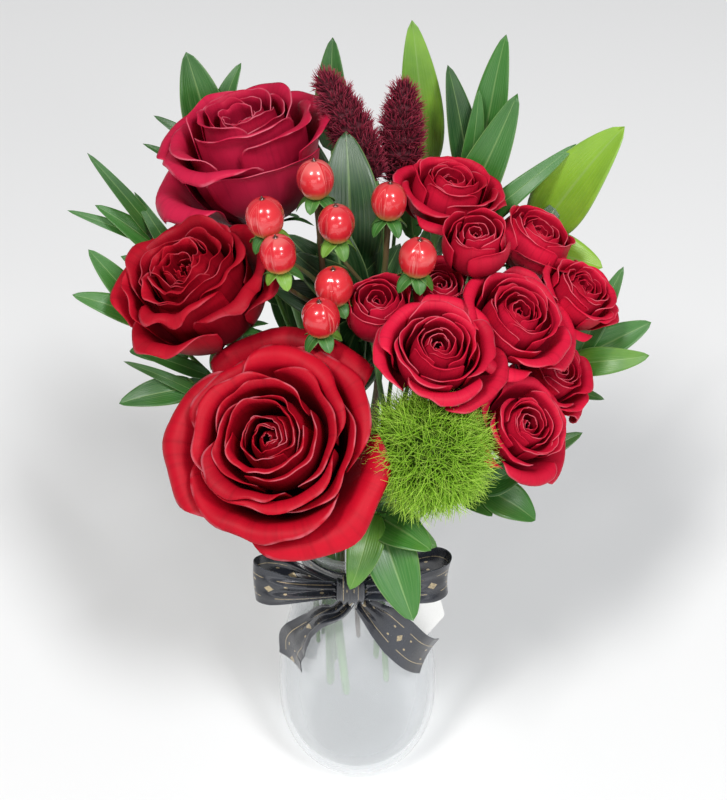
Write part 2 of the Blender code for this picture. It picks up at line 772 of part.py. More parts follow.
def make_loop(name, way, outward, lean):
    """Loop of the bow: a strip that runs out from the knot, turns and comes back."""
    start = knot_centre() + Vector((way * (KNOT_SIZE.x / 2 + CLEARANCE * 2), 0, 0))
    outward = Vector(outward).normalized()
    lean = Vector(lean).normalized()
    forward = outward.cross(lean).normalized()
    if forward.y > 0:
        forward = -forward
    steps = 14
    path = []
    for step in range(steps + 1):
        share = step / steps
        reach = LOOP_LENGTH * math.sin(math.pi * share)
        gape = LOOP_OPENING / 2 * (math.sin(2 * math.pi * share) + math.sin(math.pi * share))
        pinch = RIBBON_THICKNESS * (1 - 2 * share)
        path.append(start + outward * reach + forward * (gape + pinch))
    mesh = strip_mesh(name, path, [lean] * len(path), RIBBON_WIDTH, RIBBON_THICKNESS)
    return make_object(name, mesh, "satin")


def make_tail(name, way, route):
    """Tail of the bow, hanging down the shoulder of the vase on one side of the knot."""
    wider = (RIBBON_WIDTH - DRAWN_RIBBON) / 2
    path = []
    for degrees, drop, stand_off in route:
        height = TIE_HEIGHT - drop * MM - wider
        reach = outer_radius(height) + stand_off * MM
        angle = math.radians(degrees) + way * wider / reach
        path.append(Vector((reach * math.cos(angle), reach * math.sin(angle), height)))
    crosswise = []
    for number, point in enumerate(path):
        tangent = path[min(number + 1, len(path) - 1)] - path[max(number - 1, 0)]
        crosswise.append(Vector((point.x, point.y, 0)).cross(tangent))
    mesh = strip_mesh(name, path, crosswise, RIBBON_WIDTH, RIBBON_THICKNESS)
    return make_object(name, mesh, "satin")


def card_reach(height):
    """Distance from the vase's axis where the leaning card just meets the glass."""
    half = CARD_SIZE.y / 2
    reaches = []
    for share in (-1.0, -0.5, 0.0, 0.5, 1.0):
        glass = outer_radius(height + share * half * math.cos(CARD_LEAN))
        reaches.append(glass + share * half * math.sin(CARD_LEAN))
    return max(reaches)


def make_card():
    """Gift card, leaning on the shoulder of the glass behind the right tail."""
    mesh = bpy.data.meshes.new("gift_card")
    shape = bmesh.new()
    bmesh.ops.create_cube(shape, size=1.0)
    bmesh.ops.triangulate(shape, faces=shape.faces)
    shape.to_mesh(mesh)
    shape.free()
    height = TIE_HEIGHT - CARD_DROP
    reach = card_reach(height) + CARD_STAND_OFF
    outward = Vector((math.cos(CARD_ANGLE), math.sin(CARD_ANGLE), 0))
    sideways = UP.cross(outward)
    centre = outward * reach + sideways * CARD_SHIFT + UP * height
    normal = outward + UP * math.tan(CARD_LEAN)
    facing = normal.to_track_quat("Z", "Y").to_matrix().to_4x4()
    turn = Matrix.Rotation(CARD_TURN, 4, "Z")
    size = Matrix.Diagonal((*CARD_SIZE, 1.0))
    mesh.transform(Matrix.Translation(centre) @ facing @ turn @ size)
    return make_object("gift_card", mesh, "card")


def main():
    """Build every piece of the bouquet."""
    clear_scene()
    make_vase()
    stems = []
    for name, values in ROSES.items():
        stems.append(make_large_rose(name, *values))
    for name, values in SPRAYS.items():
        stems.append(make_spray(name, *values))
    for name, values in HYPERICUM.items():
        stems.append(make_hypericum(name, *values))
    stems.append(make_dianthus())
    for name, values in GRASSES.items():
        stems.append(make_grass(name, *values))
    for name, values in RUSCUS.items():
        stems.append(make_ruscus(name, *values))
    make_water(stems)
    make_band()
    make_knot()
    make_loop("bow_left_loop", -1, *LEFT_LOOP)
    make_loop("bow_right_loop", 1, *RIGHT_LOOP)
    make_tail("bow_left_tail", -1, LEFT_TAIL)
    make_tail("bow_right_tail", 1, RIGHT_TAIL)
    make_card()


main()
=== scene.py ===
"""Looks of a bouquet of roses standing in a glass vase.

The frame says where each flower, leaf, stem, ribbon and glass wall is. Every class here builds one
kind of piece at full detail in the place that the frame gives it, and dresses it in its finish.
Metres, +Z up, the bouquet faces -Y.
"""

import logging
import math
from abc import ABC, abstractmethod
from dataclasses import dataclass, field
from enum import Enum
from typing import Any, Callable, Sequence

import bmesh
import bpy
import numpy as np
from mathutils import Matrix, Vector


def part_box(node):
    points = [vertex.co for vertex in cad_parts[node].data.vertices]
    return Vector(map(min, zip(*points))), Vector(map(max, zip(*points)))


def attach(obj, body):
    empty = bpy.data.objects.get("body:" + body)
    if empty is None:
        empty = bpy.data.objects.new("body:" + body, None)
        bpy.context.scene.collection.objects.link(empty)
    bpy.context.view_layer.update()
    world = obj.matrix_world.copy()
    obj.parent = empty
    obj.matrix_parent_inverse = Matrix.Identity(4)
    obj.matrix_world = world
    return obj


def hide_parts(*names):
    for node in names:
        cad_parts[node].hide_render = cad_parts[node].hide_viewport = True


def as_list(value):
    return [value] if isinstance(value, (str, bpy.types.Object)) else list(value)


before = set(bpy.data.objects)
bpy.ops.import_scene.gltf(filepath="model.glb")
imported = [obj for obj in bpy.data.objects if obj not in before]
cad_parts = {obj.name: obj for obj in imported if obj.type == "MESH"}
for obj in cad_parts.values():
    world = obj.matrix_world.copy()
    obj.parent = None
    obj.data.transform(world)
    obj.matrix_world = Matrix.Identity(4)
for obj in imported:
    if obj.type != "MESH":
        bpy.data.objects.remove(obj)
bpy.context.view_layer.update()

LOG = logging.getLogger("bouquet")
ROOT = "root"
MM = 0.001
UP = Vector((0.0, 0.0, 1.0))
FRONT = Vector((0.0, -0.64, 0.77))
VIEW = Vector((0.0, -0.766, 0.643))
GOLDEN_ANGLE = math.radians(137.5)
WHITE = (1.0, 1.0, 1.0)

VASE_LOW, VASE_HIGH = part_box("vase")
VASE_AXIS = (VASE_LOW + VASE_HIGH) / 2
MOUTH = Vector((VASE_AXIS.x, VASE_AXIS.y, VASE_HIGH.z))

Colour = tuple[float, float, float]
Faces = list[tuple[int, ...]]


def from_mouth(place: Sequence[float]) -> Vector:
    """Point from its millimetres off the middle of the vase's mouth."""
    return MOUTH + Vector(place) * MM


def round_vase(angle: float, reach: float, height: float) -> Vector:
    """Point at an angle and a distance from the vase's axis, at a height."""
    return Vector((MOUTH.x + reach * math.cos(angle), MOUTH.y + reach * math.sin(angle), height))


def middle_of(node: str) -> tuple[Vector, Vector]:
    """Middle of a CAD node's box and half its size."""
    low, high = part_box(node)
    return (low + high) / 2, (high - low) / 2


def put(name: str, data: bpy.types.ID) -> bpy.types.Object:
    """Link a new object to the scene."""
    thing = bpy.data.objects.new(name, data)
    bpy.context.scene.collection.objects.link(thing)
    return thing


# ---- node trees

class Wire:
    """A socket of a shader tree that Python's operators join to Math nodes."""

    def __init__(self, tree: bpy.types.NodeTree, socket: bpy.types.NodeSocket) -> None:
        """Hold a socket and the tree that it belongs to."""
        self.tree = tree
        self.socket = socket

    def join(self, operation: str, left: Any, right: Any = 0.0) -> "Wire":
        """Add one Math node.

        Args:
            operation: The node's operation.
            left: First value, a Wire or a number.
            right: Second value, a Wire or a number.

        Returns:
            The node's result.
        """
        node = self.tree.nodes.new("ShaderNodeMath")
        node.operation = operation
        feed(self.tree, node.inputs[0], left)
        feed(self.tree, node.inputs[1], right)
        return Wire(self.tree, node.outputs[0])

    def __add__(self, other: Any) -> "Wire":
        """Sum."""
        return self.join("ADD", self, other)

    __radd__ = __add__

    def __sub__(self, other: Any) -> "Wire":
        """Difference."""
        return self.join("SUBTRACT", self, other)

    def __rsub__(self, other: Any) -> "Wire":
        """Difference from a number."""
        return self.join("SUBTRACT", other, self)

    def __mul__(self, other: Any) -> "Wire":
        """Product."""
        return self.join("MULTIPLY", self, other)

    __rmul__ = __mul__

    def __pow__(self, other: Any) -> "Wire":
        """Power."""
        return self.join("POWER", self, other)

    def sine(self) -> "Wire":
        """Sine of the value."""
        return self.join("SINE", self)

    def size(self) -> "Wire":
        """Absolute value."""
        return self.join("ABSOLUTE", self)

    def above(self, limit: float) -> "Wire":
        """1 where the value is over a limit, 0 elsewhere."""
        return self.join("GREATER_THAN", self, limit)

    def beside(self, output: str) -> "Wire":
        """Another output of the same node."""
        return Wire(self.tree, self.socket.node.outputs[output])


def feed(tree: bpy.types.NodeTree, socket: bpy.types.NodeSocket, value: Any) -> None:
    """Link a Wire or set a plain value on an input socket.

    Args:
        tree: Tree of the socket.
        socket: Input socket.
        value: A Wire, an output socket or a plain value.
    """
    if isinstance(value, Wire):
        tree.links.new(value.socket, socket)
    elif isinstance(value, bpy.types.NodeSocket):
        tree.links.new(value, socket)
    elif isinstance(value, (tuple, list)) and socket.type == "RGBA" and len(value) == 3:
        socket.default_value = (*value, 1.0)
    else:
        socket.default_value = value


class Nodes:
    """Node tree with a short way to add its nodes."""

    def __init__(self, tree: bpy.types.NodeTree) -> None:
        """Hold the tree."""
        self.tree = tree

    def add(self, kind: str, inputs: dict | None = None, output: int | str = 0,
            **settings: Any) -> Wire:
        """Add a node.

        Args:
            kind: Node type.
            inputs: Values or links by socket name or number.
            output: Name or number of the output that is returned.
            **settings: Attributes of the node, set before its sockets.

        Returns:
            One of the node's outputs.
        """
        node = self.tree.nodes.new(kind)
        for name, value in settings.items():
            setattr(node, name, value)
        for name, value in (inputs or {}).items():
            feed(self.tree, node.inputs[name], value)
        return Wire(self.tree, node.outputs[output])

    def end(self, kind: str, value: Wire) -> None:
        """Add the tree's output node and join a value to it."""
        feed(self.tree, self.tree.nodes.new(kind).inputs[0], value)


class Recipe(Nodes):
    """Shader tree of one finish, with short ways to its usual nodes."""

    def __init__(self, name: str) -> None:
        """Start an empty material."""
        self.material = bpy.data.materials.new(name)
        self.material.use_nodes = True
        super().__init__(self.material.node_tree)
        self.tree.nodes.clear()

    def place(self) -> Wire:
        """Object coordinates."""
        return self.add("ShaderNodeTexCoord", output="Object")

    def marks(self, *names: str) -> list[Wire]:
        """Values of point attributes."""
        return [self.add("ShaderNodeAttribute", output="Fac", attribute_name=name)
                for name in names]

    def noise(self, scale: float, detail: float = 3.0, vector: Wire | None = None) -> Wire:
        """Noise from 0 to 1, on object coordinates unless a vector is given."""
        return self.add("ShaderNodeTexNoise", {"Vector": vector or self.place(), "Scale": scale,
                                               "Detail": detail})

    def point(self, x: Any, y: Any, z: Any = 0.0) -> Wire:
        """Vector from three values."""
        return self.add("ShaderNodeCombineXYZ", {"X": x, "Y": y, "Z": z})

    def mix(self, share: Any, first: Any, second: Any) -> Wire:
        """Colour between two colours."""
        return self.add("ShaderNodeMix", {0: share, 6: first, 7: second}, 2, data_type="RGBA",
                        clamp_factor=True)

    def between(self, value: Wire, low: float, high: float) -> Wire:
        """Smooth step from 0 at low to 1 at high."""
        return self.add("ShaderNodeMapRange", {"Value": value, "From Min": low, "From Max": high},
                        interpolation_type="SMOOTHSTEP")

    def bump(self, height: Any, strength: float, distance: float) -> Wire:
        """Normal bent by a height."""
        return self.add("ShaderNodeBump", {"Height": height, "Strength": strength,
                                           "Distance": distance})

    def blend(self, share: Any, first: Wire, second: Wire) -> Wire:
        """Shader between two shaders."""
        return self.add("ShaderNodeMixShader", {0: share, 1: first, 2: second})

    def principled(self, **values: Any) -> Wire:
        """Principled shader; an underscore in a name stands for a space."""
        return self.add("ShaderNodeBsdfPrincipled",
                        {name.replace("_", " "): value for name, value in values.items()})

    def largest(self, first: Wire, *others: Wire) -> Wire:
        """Largest of some values."""
        for other in others:
            first = first.join("MAXIMUM", first, other)
        return first

    def finish(self, shader: Wire) -> bpy.types.Material:
        """Join a shader to the material's output."""
        self.end("ShaderNodeOutputMaterial", shader)
        return self.material


class Finish(ABC):
    """Look of one kind of surface."""

    name: str

    @abstractmethod
    def shade(self, recipe: Recipe) -> Wire:
        """Lay the finish's nodes and return its shader."""

    def material(self) -> bpy.types.Material:
        """Build the material."""
        recipe = Recipe(self.name)
        return recipe.finish(self.shade(recipe))


# ---- finishes

@dataclass(frozen=True)
class PetalFinish(Finish):
    """Velvety petal, darkened towards its foot by painted shade, with a thin pale lip and fine
    veins.

    Petals carry the point attributes along (0 foot, 1 lip), across (-1 to 1), layer (0 heart,
    1 outside) and tone (0 to 1).
    """

    name: str
    # painted shade at the petal's foot; the same colour also darkens its veins
    painted_shade_and_vein: Colour
    middle: Colour
    bright: Colour
    lip: Colour
    lip_share: float = 0.6
    roughness: float = 0.52
    sheen: float = 0.08

    def shade(self, recipe: Recipe) -> Wire:
        """Lay the nodes."""
        along, across, layer, tone = recipe.marks("along", "across", "layer", "tone")
        cloud = recipe.noise(42.0, 3.0)
        shade = tone * 0.55 + cloud * 0.75 + layer * 0.25 - 0.30
        colour = recipe.mix(shade, self.middle, self.bright)
        # painted shade: the petal darkens towards its foot, deep in the bloom where shade falls
        colour = recipe.mix((1.0 - recipe.between(along, 0.15, 0.82)) * 0.96, colour, self.painted_shade_and_vein)
        streak = recipe.noise(1.0, 2.0, recipe.point(across * 16.0, along * 1.2, tone * 40.0))
        colour = recipe.mix(recipe.between(streak, 0.45, 0.80) * 0.22, colour, self.painted_shade_and_vein)
        torn = recipe.between(recipe.noise(75.0, 2.0), 0.42, 0.62)
        edge = recipe.between(along, 0.965, 1.0) * torn
        colour = recipe.mix(edge * self.lip_share, colour, self.lip)
        velvet = recipe.noise(2600.0, 2.0)
        ridge = recipe.bump(streak * 0.5 + velvet * 0.3, 0.30, 0.0004)
        return recipe.principled(
            Base_Color=colour, Roughness=self.roughness + (velvet - 0.5) * 0.12, Normal=ridge,
            Sheen_Weight=self.sheen, Sheen_Roughness=0.45, Sheen_Tint=(*self.bright, 1.0),
            Specular_IOR_Level=0.14)


@dataclass(frozen=True)
class LeafFinish(Finish):
    """Glossy leaf with a pale midrib, parallel veins and a thin pale margin.

    Leaves carry along (0 root, 1 tip), across (-1 to 1) and tone (0 dark, 1 lime).
    """

    name: str
    dark: Colour = (0.010, 0.050, 0.012)
    green: Colour = (0.030, 0.150, 0.018)
    lime: Colour = (0.250, 0.450, 0.030)
    pale: Colour = (0.300, 0.440, 0.160)
    veins: float = 15.0
    roughness: float = 0.30

    def shade(self, recipe: Recipe) -> Wire:
        """Lay the nodes."""
        along, across, tone = recipe.marks("along", "across", "tone")
        patch = recipe.noise(60.0, 4.0)
        shade = tone + (patch - 0.5) * 0.35
        colour = recipe.mix(recipe.between(shade, 0.0, 0.5), self.dark, self.green)
        colour = recipe.mix(recipe.between(shade, 0.5, 1.0), colour, self.lime)
        grain = recipe.noise(1.0, 3.0, recipe.point(across * 26.0, along * 3.0, tone * 30.0))
        comb = (across * (self.veins * math.pi) + (grain - 0.5) * 2.0).sine() * 0.5 + 0.5
        vein = comb ** 3.0
        stripe = recipe.between(grain, 0.45, 0.75)
        colour = recipe.mix(vein * 0.05 + stripe * 0.12, colour, self.pale)
        rib = 1.0 - recipe.between(across.size(), 0.02, 0.07)
        margin = recipe.between(across.size(), 0.93, 0.985)
        colour = recipe.mix(rib * 0.30 + margin * 0.45, colour, self.pale)
        height = vein * 0.5 + grain * 0.6 - rib * 1.2
        return recipe.principled(
            Base_Color=colour, Roughness=self.roughness + grain * 0.16,
            Normal=recipe.bump(height, 0.22, 0.0005), Specular_IOR_Level=0.5,
            Coat_Weight=0.10, Coat_Roughness=0.24)


@dataclass(frozen=True)
class StemFinish(Finish):
    """Stem or stalk: two greens in long streaks, with small rough spots."""

    name: str
    first: Colour
    second: Colour
    roughness: float = 0.45

    def shade(self, recipe: Recipe) -> Wire:
        """Lay the nodes."""
        drawn = recipe.add("ShaderNodeMapping", {"Vector": recipe.place(),
                                                 "Scale": (1.0, 1.0, 0.12)})
        streak = recipe.noise(90.0, 4.0, drawn)
        spot = recipe.noise(700.0, 2.0)
        colour = recipe.mix(recipe.between(streak, 0.35, 0.65), self.first, self.second)
        colour = recipe.mix(recipe.between(spot, 0.62, 0.75) * 0.4, colour, self.first)
        return recipe.principled(
            Base_Color=colour, Roughness=self.roughness + spot * 0.15,
            Normal=recipe.bump(streak + spot * 0.5, 0.3, 0.0004), Specular_IOR_Level=0.45)


@dataclass(frozen=True)
class BerryFinish(Finish):
    """Shiny berry skin: coral red with painted highlight streaks, yellower at its base, dark at its
    tip.

    Berries carry along (0 base, 1 tip), groove (0 to 1) and tone.
    """

    name: str = "berry_skin"
    red: Colour = (0.54, 0.008, 0.020)
    coral: Colour = (0.68, 0.040, 0.045)
    base: Colour = (0.70, 0.36, 0.10)
    # colour of the painted highlight streaks on the berry
    pale: Colour = (0.84, 0.30, 0.27)
    tip: Colour = (0.060, 0.018, 0.010)

    def shade(self, recipe: Recipe) -> Wire:
        """Lay the nodes."""
        along, groove, tone = recipe.marks("along", "groove", "tone")
        speck = recipe.noise(900.0, 3.0)
        colour = recipe.mix(recipe.noise(130.0, 3.0) * 0.9 + tone * 0.4 - 0.2, self.red, self.coral)
        colour = recipe.mix(recipe.between(speck, 0.60, 0.72) * 0.25, colour, self.coral)
        colour = recipe.mix(groove * 0.55, colour, self.red)
        # painted highlight: pale streaks down the skin stand in for reflections of tall lamps
        streak = recipe.noise(1.0, 2.0, recipe.point(groove * 7.0, along * 1.2, tone * 20.0))
        colour = recipe.mix(recipe.between(streak, 0.50, 0.72) * 0.45, colour, self.pale)
        colour = recipe.mix((1.0 - recipe.between(along, 0.03, 0.36)) * 0.92, colour, self.base)
        colour = recipe.mix(recipe.between(along, 0.955, 0.985), colour, self.tip)
        return recipe.principled(
            Base_Color=colour, Roughness=0.20 + speck * 0.08, Specular_IOR_Level=0.55,
            Normal=recipe.bump(speck, 0.12, 0.0002), Coat_Weight=0.5, Coat_Roughness=0.06)


@dataclass(frozen=True)
class FibreFinish(Finish):
    """Fine filaments or bristles, from one colour at the foot to another at the tip."""

    name: str
    foot: Colour
    body: Colour
    tip: Colour
    roughness: float = 0.6

    def shade(self, recipe: Recipe) -> Wire:
        """Lay the nodes."""
        along, tone = recipe.marks("along", "tone")
        colour = recipe.mix(recipe.between(along, 0.05, 0.60), self.foot, self.body)
        colour = recipe.mix(recipe.between(along, 0.55, 1.0) * (tone * 0.6 + 0.4), colour, self.tip)
        colour = recipe.mix(recipe.noise(420.0, 2.0) * 0.3, colour, self.foot)
        return recipe.principled(Base_Color=colour, Roughness=self.roughness + tone * 0.1,
                                   Specular_IOR_Level=0.35)


@dataclass(frozen=True)
class SatinFinish(Finish):
    """Dark satin ribbon with a generic ornament of gold lines and small diamonds.

    Ribbons carry across (-1 to 1) and run (ribbon widths from the knot).
    """

    name: str = "slate_satin"
    dark: Colour = (0.008, 0.009, 0.013)
    light: Colour = (0.032, 0.038, 0.054)
    gold: Colour = (0.62, 0.50, 0.30)

    def shade(self, recipe: Recipe) -> Wire:
        """Lay the nodes."""
        across, run = recipe.marks("across", "run")
        weave = (run * 420.0).sine() * 0.5 + (across * 160.0).sine() * 0.5
        cloud = recipe.noise(38.0, 3.0)
        colour = recipe.mix(recipe.between(cloud, 0.30, 0.75) * 0.7, self.dark, self.light)
        edge = recipe.between(across.size(), 0.90, 0.97)
        colour = recipe.mix(edge * 0.35, colour, self.light)
        away = across.size()
        beat = (run.join("FRACT", run * 0.62) - 0.5).size()
        line = 1.0 - recipe.between((away - 0.52).size(), 0.012, 0.024)
        line = line * (1.0 - beat.above(0.40))
        slant = (across * 0.9).size() + (beat - 0.5).size() * 2.6
        diamond = 1.0 - recipe.between(slant, 0.16, 0.20)
        spot = (away - 0.26) ** 2.0 + (beat - 0.26) ** 2.0 * 3.0
        bead = 1.0 - recipe.between(spot, 0.0016, 0.0030)
        mask = recipe.largest(line, diamond, bead)
        mask = mask * recipe.between(recipe.noise(1500.0, 2.0), 0.30, 0.50) * 0.75
        colour = recipe.mix(mask, colour, self.gold)
        return recipe.principled(
            Base_Color=colour, Metallic=mask * 0.8,
            Roughness=0.21 + recipe.noise(200.0, 2.0) * 0.10,
            Normal=recipe.bump(weave, 0.10, 0.0001), Specular_IOR_Level=0.6,
            Sheen_Weight=0.10, Sheen_Roughness=0.3, Coat_Weight=0.35, Coat_Roughness=0.16)


@dataclass(frozen=True)
class CardFinish(Finish):
    """White card with a faint fibre."""

    name: str = "white_card"
    white: Colour = (0.90, 0.90, 0.88)
    fibre: Colour = (0.80, 0.80, 0.78)

    def shade(self, recipe: Recipe) -> Wire:
        """Lay the nodes."""
        fibre = recipe.noise(900.0, 5.0)
        colour = recipe.mix(recipe.between(fibre, 0.45, 0.80) * 0.5, self.white, self.fibre)
        return recipe.principled(Base_Color=colour, Roughness=0.62 + fibre * 0.1,
                                   Normal=recipe.bump(fibre, 0.15, 0.0002))


@dataclass(frozen=True)
class GlassFinish(Finish):
    """Thin clear glass with a milky bloom that gathers at its edges."""

    name: str
    body: Colour
    haze: float
    edge_haze: float
    gloss: float
    mottle: float = 18.0
    shadow: Colour = (0.52, 0.57, 0.63)
    clear: Colour = (0.985, 0.99, 0.992)

    def shade(self, recipe: Recipe) -> Wire:
        """Lay the nodes."""
        facing = recipe.add("ShaderNodeLayerWeight", {"Blend": 0.35}, "Facing")
        cloud = recipe.noise(self.mottle, 4.0)
        veil = facing ** 2.5 * (self.edge_haze - self.haze) + self.haze + (cloud - 0.5) * 0.05
        tint = recipe.mix(cloud * 0.4 + 0.1, self.body, self.shadow)
        milk = recipe.principled(Base_Color=tint, Roughness=0.35 + cloud * 0.1)
        clear = recipe.add("ShaderNodeBsdfTransparent", {"Color": self.clear})
        lit = 1.0 - recipe.add("ShaderNodeLightPath", output="Is Shadow Ray") * 0.85
        through = recipe.blend(veil * lit, clear, milk)
        shine = recipe.add("ShaderNodeBsdfGlossy", {"Color": WHITE, "Roughness": 0.04})
        outside = 1.0 - recipe.add("ShaderNodeNewGeometry", output="Backfacing")
        mirror = recipe.add("ShaderNodeFresnel", {"IOR": 1.45}) * outside * self.gloss
        return recipe.blend(mirror, through, shine)


# ---- meshes

class Patchwork:
    """Points, faces and point attributes gathered from many patches into one mesh."""

    def __init__(self) -> None:
        """Start with nothing."""
        self.points: list[np.ndarray] = []
        self.faces: list[tuple[int, ...]] = []
        self.marks: dict[str, list[np.ndarray]] = {}
        self.count = 0

    def add(self, points: np.ndarray, faces: Sequence[Sequence[int]], **marks: Any) -> None:
        """Add a patch.

        Args:
            points: Points, one row each.
            faces: Corners of each face, counted from the patch's first point.
            marks: Attributes: one value for the patch, or one for each point.
        """
        points = np.asarray(points, float).reshape(-1, 3)
        self.points.append(points)
        self.faces.extend(tuple(int(corner) + self.count for corner in face) for face in faces)
        for name, values in marks.items():
            row = np.broadcast_to(np.asarray(values, float).ravel(), (len(points),))
            self.marks.setdefault(name, []).append(row)
        self.count += len(points)

    def build(self, name: str, material: bpy.types.Material, thickness: float = 0.0,
              place: Matrix | None = None) -> bpy.types.Object:
        """Make the mesh and its object.

        Args:
            name: Name of the piece.
            material: Its finish.
            thickness: Thickness given to open sheets; 0 leaves the mesh as it is.
            place: Matrix applied to the points.

        Returns:
            The object, at the origin.
        """
        mesh = bpy.data.meshes.new(name)
        mesh.from_pydata(np.concatenate(self.points).tolist(), [], self.faces)
        for mark, rows in self.marks.items():
            attribute = mesh.attributes.new(mark, "FLOAT", "POINT")
            attribute.data.foreach_set("value", np.concatenate(rows).astype(np.float32))
        if place is not None:
            mesh.transform(place)
        return show(name, mesh, material, thickness)


def show(name: str, mesh: bpy.types.Mesh, material: bpy.types.Material,
         thickness: float = 0.0) -> bpy.types.Object:
    """Put a mesh in the scene as a smooth piece.

    Args:
        name: Name of the piece.
        mesh: Its mesh.
        material: Its finish.
        thickness: Thickness given to open sheets.

    Returns:
        The object.
    """
    mesh.materials.clear()
    mesh.materials.append(material)
    mesh.shade_smooth()
    thing = put(name, mesh)
    if thickness:
        solid = thing.modifiers.new("thickness", "SOLIDIFY")
        solid.thickness = thickness
        solid.offset = 0.0
    return thing


def grid_faces(rows: int, columns: int, wrap: bool = False) -> Faces:
    """Faces of a grid of points.

    Args:
        rows: Rows of points.
        columns: Points in a row.
        wrap: True if the last column joins the first.

    Returns:
        Quads that wind upwards along the rows.
    """
    faces = []
    for start in range(0, (rows - 1) * columns, columns):
        for column in range(columns if wrap else columns - 1):
            near, far = start + column, start + (column + 1) % columns
            faces.append((near, far, far + columns, near + columns))
    return faces


def lathe(outline: Sequence[tuple[float, float]], sides: int) -> tuple[np.ndarray, Faces]:
    """Closed body turned about Z.

    Args:
        outline: (radius, height) up the outside; its ends lie on the axis.
        sides: Points round the body.

    Returns:
        Points and faces.
    """
    angle = np.linspace(0, 2 * math.pi, sides, endpoint=False)
    inner = np.array(outline[1:-1])
    rings = np.stack([inner[:, :1] * np.cos(angle), inner[:, :1] * np.sin(angle),
                      np.repeat(inner[:, 1:], sides, axis=1)], axis=2)
    points = np.concatenate([rings.reshape(-1, 3), [[0, 0, outline[0][1]], [0, 0, outline[-1][1]]]])
    faces = grid_faces(len(inner), sides, True)
    low, high, last = len(points) - 2, len(points) - 1, (len(inner) - 1) * sides
    for side in range(sides):
        after = (side + 1) % sides
        faces.append((low, after, side))
        faces.append((high, last + side, last + after))
    return points, faces


def oval(radius: float, half_height: float, steps: int) -> list[tuple[float, float]]:
    """Outline of an egg shape, as (radius, height) from its bottom to its top."""
    angles = [math.pi * step / steps for step in range(steps + 1)]
    return [(radius * math.sin(angle), -half_height * math.cos(angle)) for angle in angles]


def smooth_path(points: Sequence[Vector], steps: int) -> list[Vector]:
    """Smooth curve through points.

    Args:
        points: Points that it passes.
        steps: Steps between two of them.

    Returns:
        Points along the curve, ends included.
    """
    ends = [2 * points[0] - points[1], *points, 2 * points[-1] - points[-2]]
    path = []
    for before, start, end, after in zip(ends, ends[1:], ends[2:], ends[3:]):
        for step in range(steps):
            t = step / steps
            path.append(0.5 * (2 * start + (end - before) * t
                               + (2 * before - 5 * start + 4 * end - after) * t ** 2
                               + (3 * start - before - 3 * end + after) * t ** 3))
    return path + [points[-1].copy()]


def cubic(share: Any, start: Any, start_pull: Any, end_pull: Any, end: Any) -> Any:
    """Point of a cubic curve, from 0 at its start to 1 at its end."""
    rest = 1 - share
    return (start * rest ** 3 + start_pull * 3 * rest ** 2 * share
            + end_pull * 3 * rest * share ** 2 + end * share ** 3)


def slope(path: Sequence[Vector], number: int) -> Vector:
    """Direction of a path at one of its points."""
    return (path[min(number + 1, len(path) - 1)] - path[max(number - 1, 0)]).normalized()


def tube(path: Sequence[Vector], radii: Sequence[float], sides: int) -> tuple[np.ndarray, Faces]:
    """Round bar along a path, with flat ends.

    Args:
        path: Its centreline.
        radii: Its radius at each point.
        sides: Points round it.

    Returns:
        Points and faces.
    """
    rows = []
    normal = (path[1] - path[0]).orthogonal().normalized()
    for number, point in enumerate(path):
        tangent = slope(path, number)
        normal = (normal - tangent * normal.dot(tangent)).normalized()
        binormal = tangent.cross(normal)
        for side in range(sides):
            angle = 2 * math.pi * side / sides
            way = normal * math.cos(angle) + binormal * math.sin(angle)
            rows.append(point + way * radii[number])
    faces = grid_faces(len(path), sides, True)
    last = (len(path) - 1) * sides
    faces.append(tuple(reversed(range(sides))))
    faces.append(tuple(range(last, last + sides)))
    return np.array(rows), faces


def axis_matrix(centre: Vector, axis: Vector, spin: float = 0.0) -> Matrix:
    """Matrix that moves a body to a centre, with its Z along an axis and a spin about it."""
    turn = axis.to_track_quat("Z", "Y").to_matrix().to_4x4()
    return Matrix.Translation(centre) @ turn @ Matrix.Rotation(spin, 4, "Z")


def place_piece(piece: bpy.types.Object, slot: str, *nodes: str) -> bpy.types.Object:
    """Let a piece ride on the body and stand for its CAD nodes.

    Args:
        piece: The finished piece.
        slot: Material slot of the record; not used.
        nodes: CAD nodes that it replaces.

    Returns:
        The piece.
    """
    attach(piece, ROOT)
    if nodes:
        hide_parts(*nodes)
    LOG.info("%s: %d points", piece.name, len(piece.data.vertices))
    return piece


@dataclass(frozen=True)
class Head:
    """Place, axis and radius of a flower head, read from its CAD node."""

    centre: Vector
    axis: Vector
    radius: float

    @classmethod
    def of(cls, node: str, lean: float = 1.0, settle: float = 0.0) -> "Head":
        """Read a head from its node.

        Args:
            node: Name of the CAD node.
            lean: 0 for a head that stands upright, 1 for one that faces away from the mouth.
            settle: Distance of the widest ring above the middle, as a share of the radius.

        Returns:
            The head.
        """
        middle, half = middle_of(node)
        axis = UP.lerp((middle - MOUTH).normalized(), lean).normalized()
        flat = min(range(3), key=lambda number: abs(axis[number]))
        radius = half[flat] / math.sqrt(1 - axis[flat] ** 2)
        return cls(middle + axis * settle * radius, axis, radius)


# ---- roses

def bend_up(points: np.ndarray, turn: np.ndarray, foot: float) -> np.ndarray:
    """Turn the top of a bloom and leave its foot on the stem.

    Args:
        points: Points in the bloom's frame.
        turn: Rotation of its top.
        foot: Height of its foot.

    Returns:
        The bent points.
    """
    share = np.clip(1 - points[:, 2:] / foot, 0, 1)
    share = share * share * (3 - 2 * share)
    return points * (1 - share) + (points @ turn.T) * share


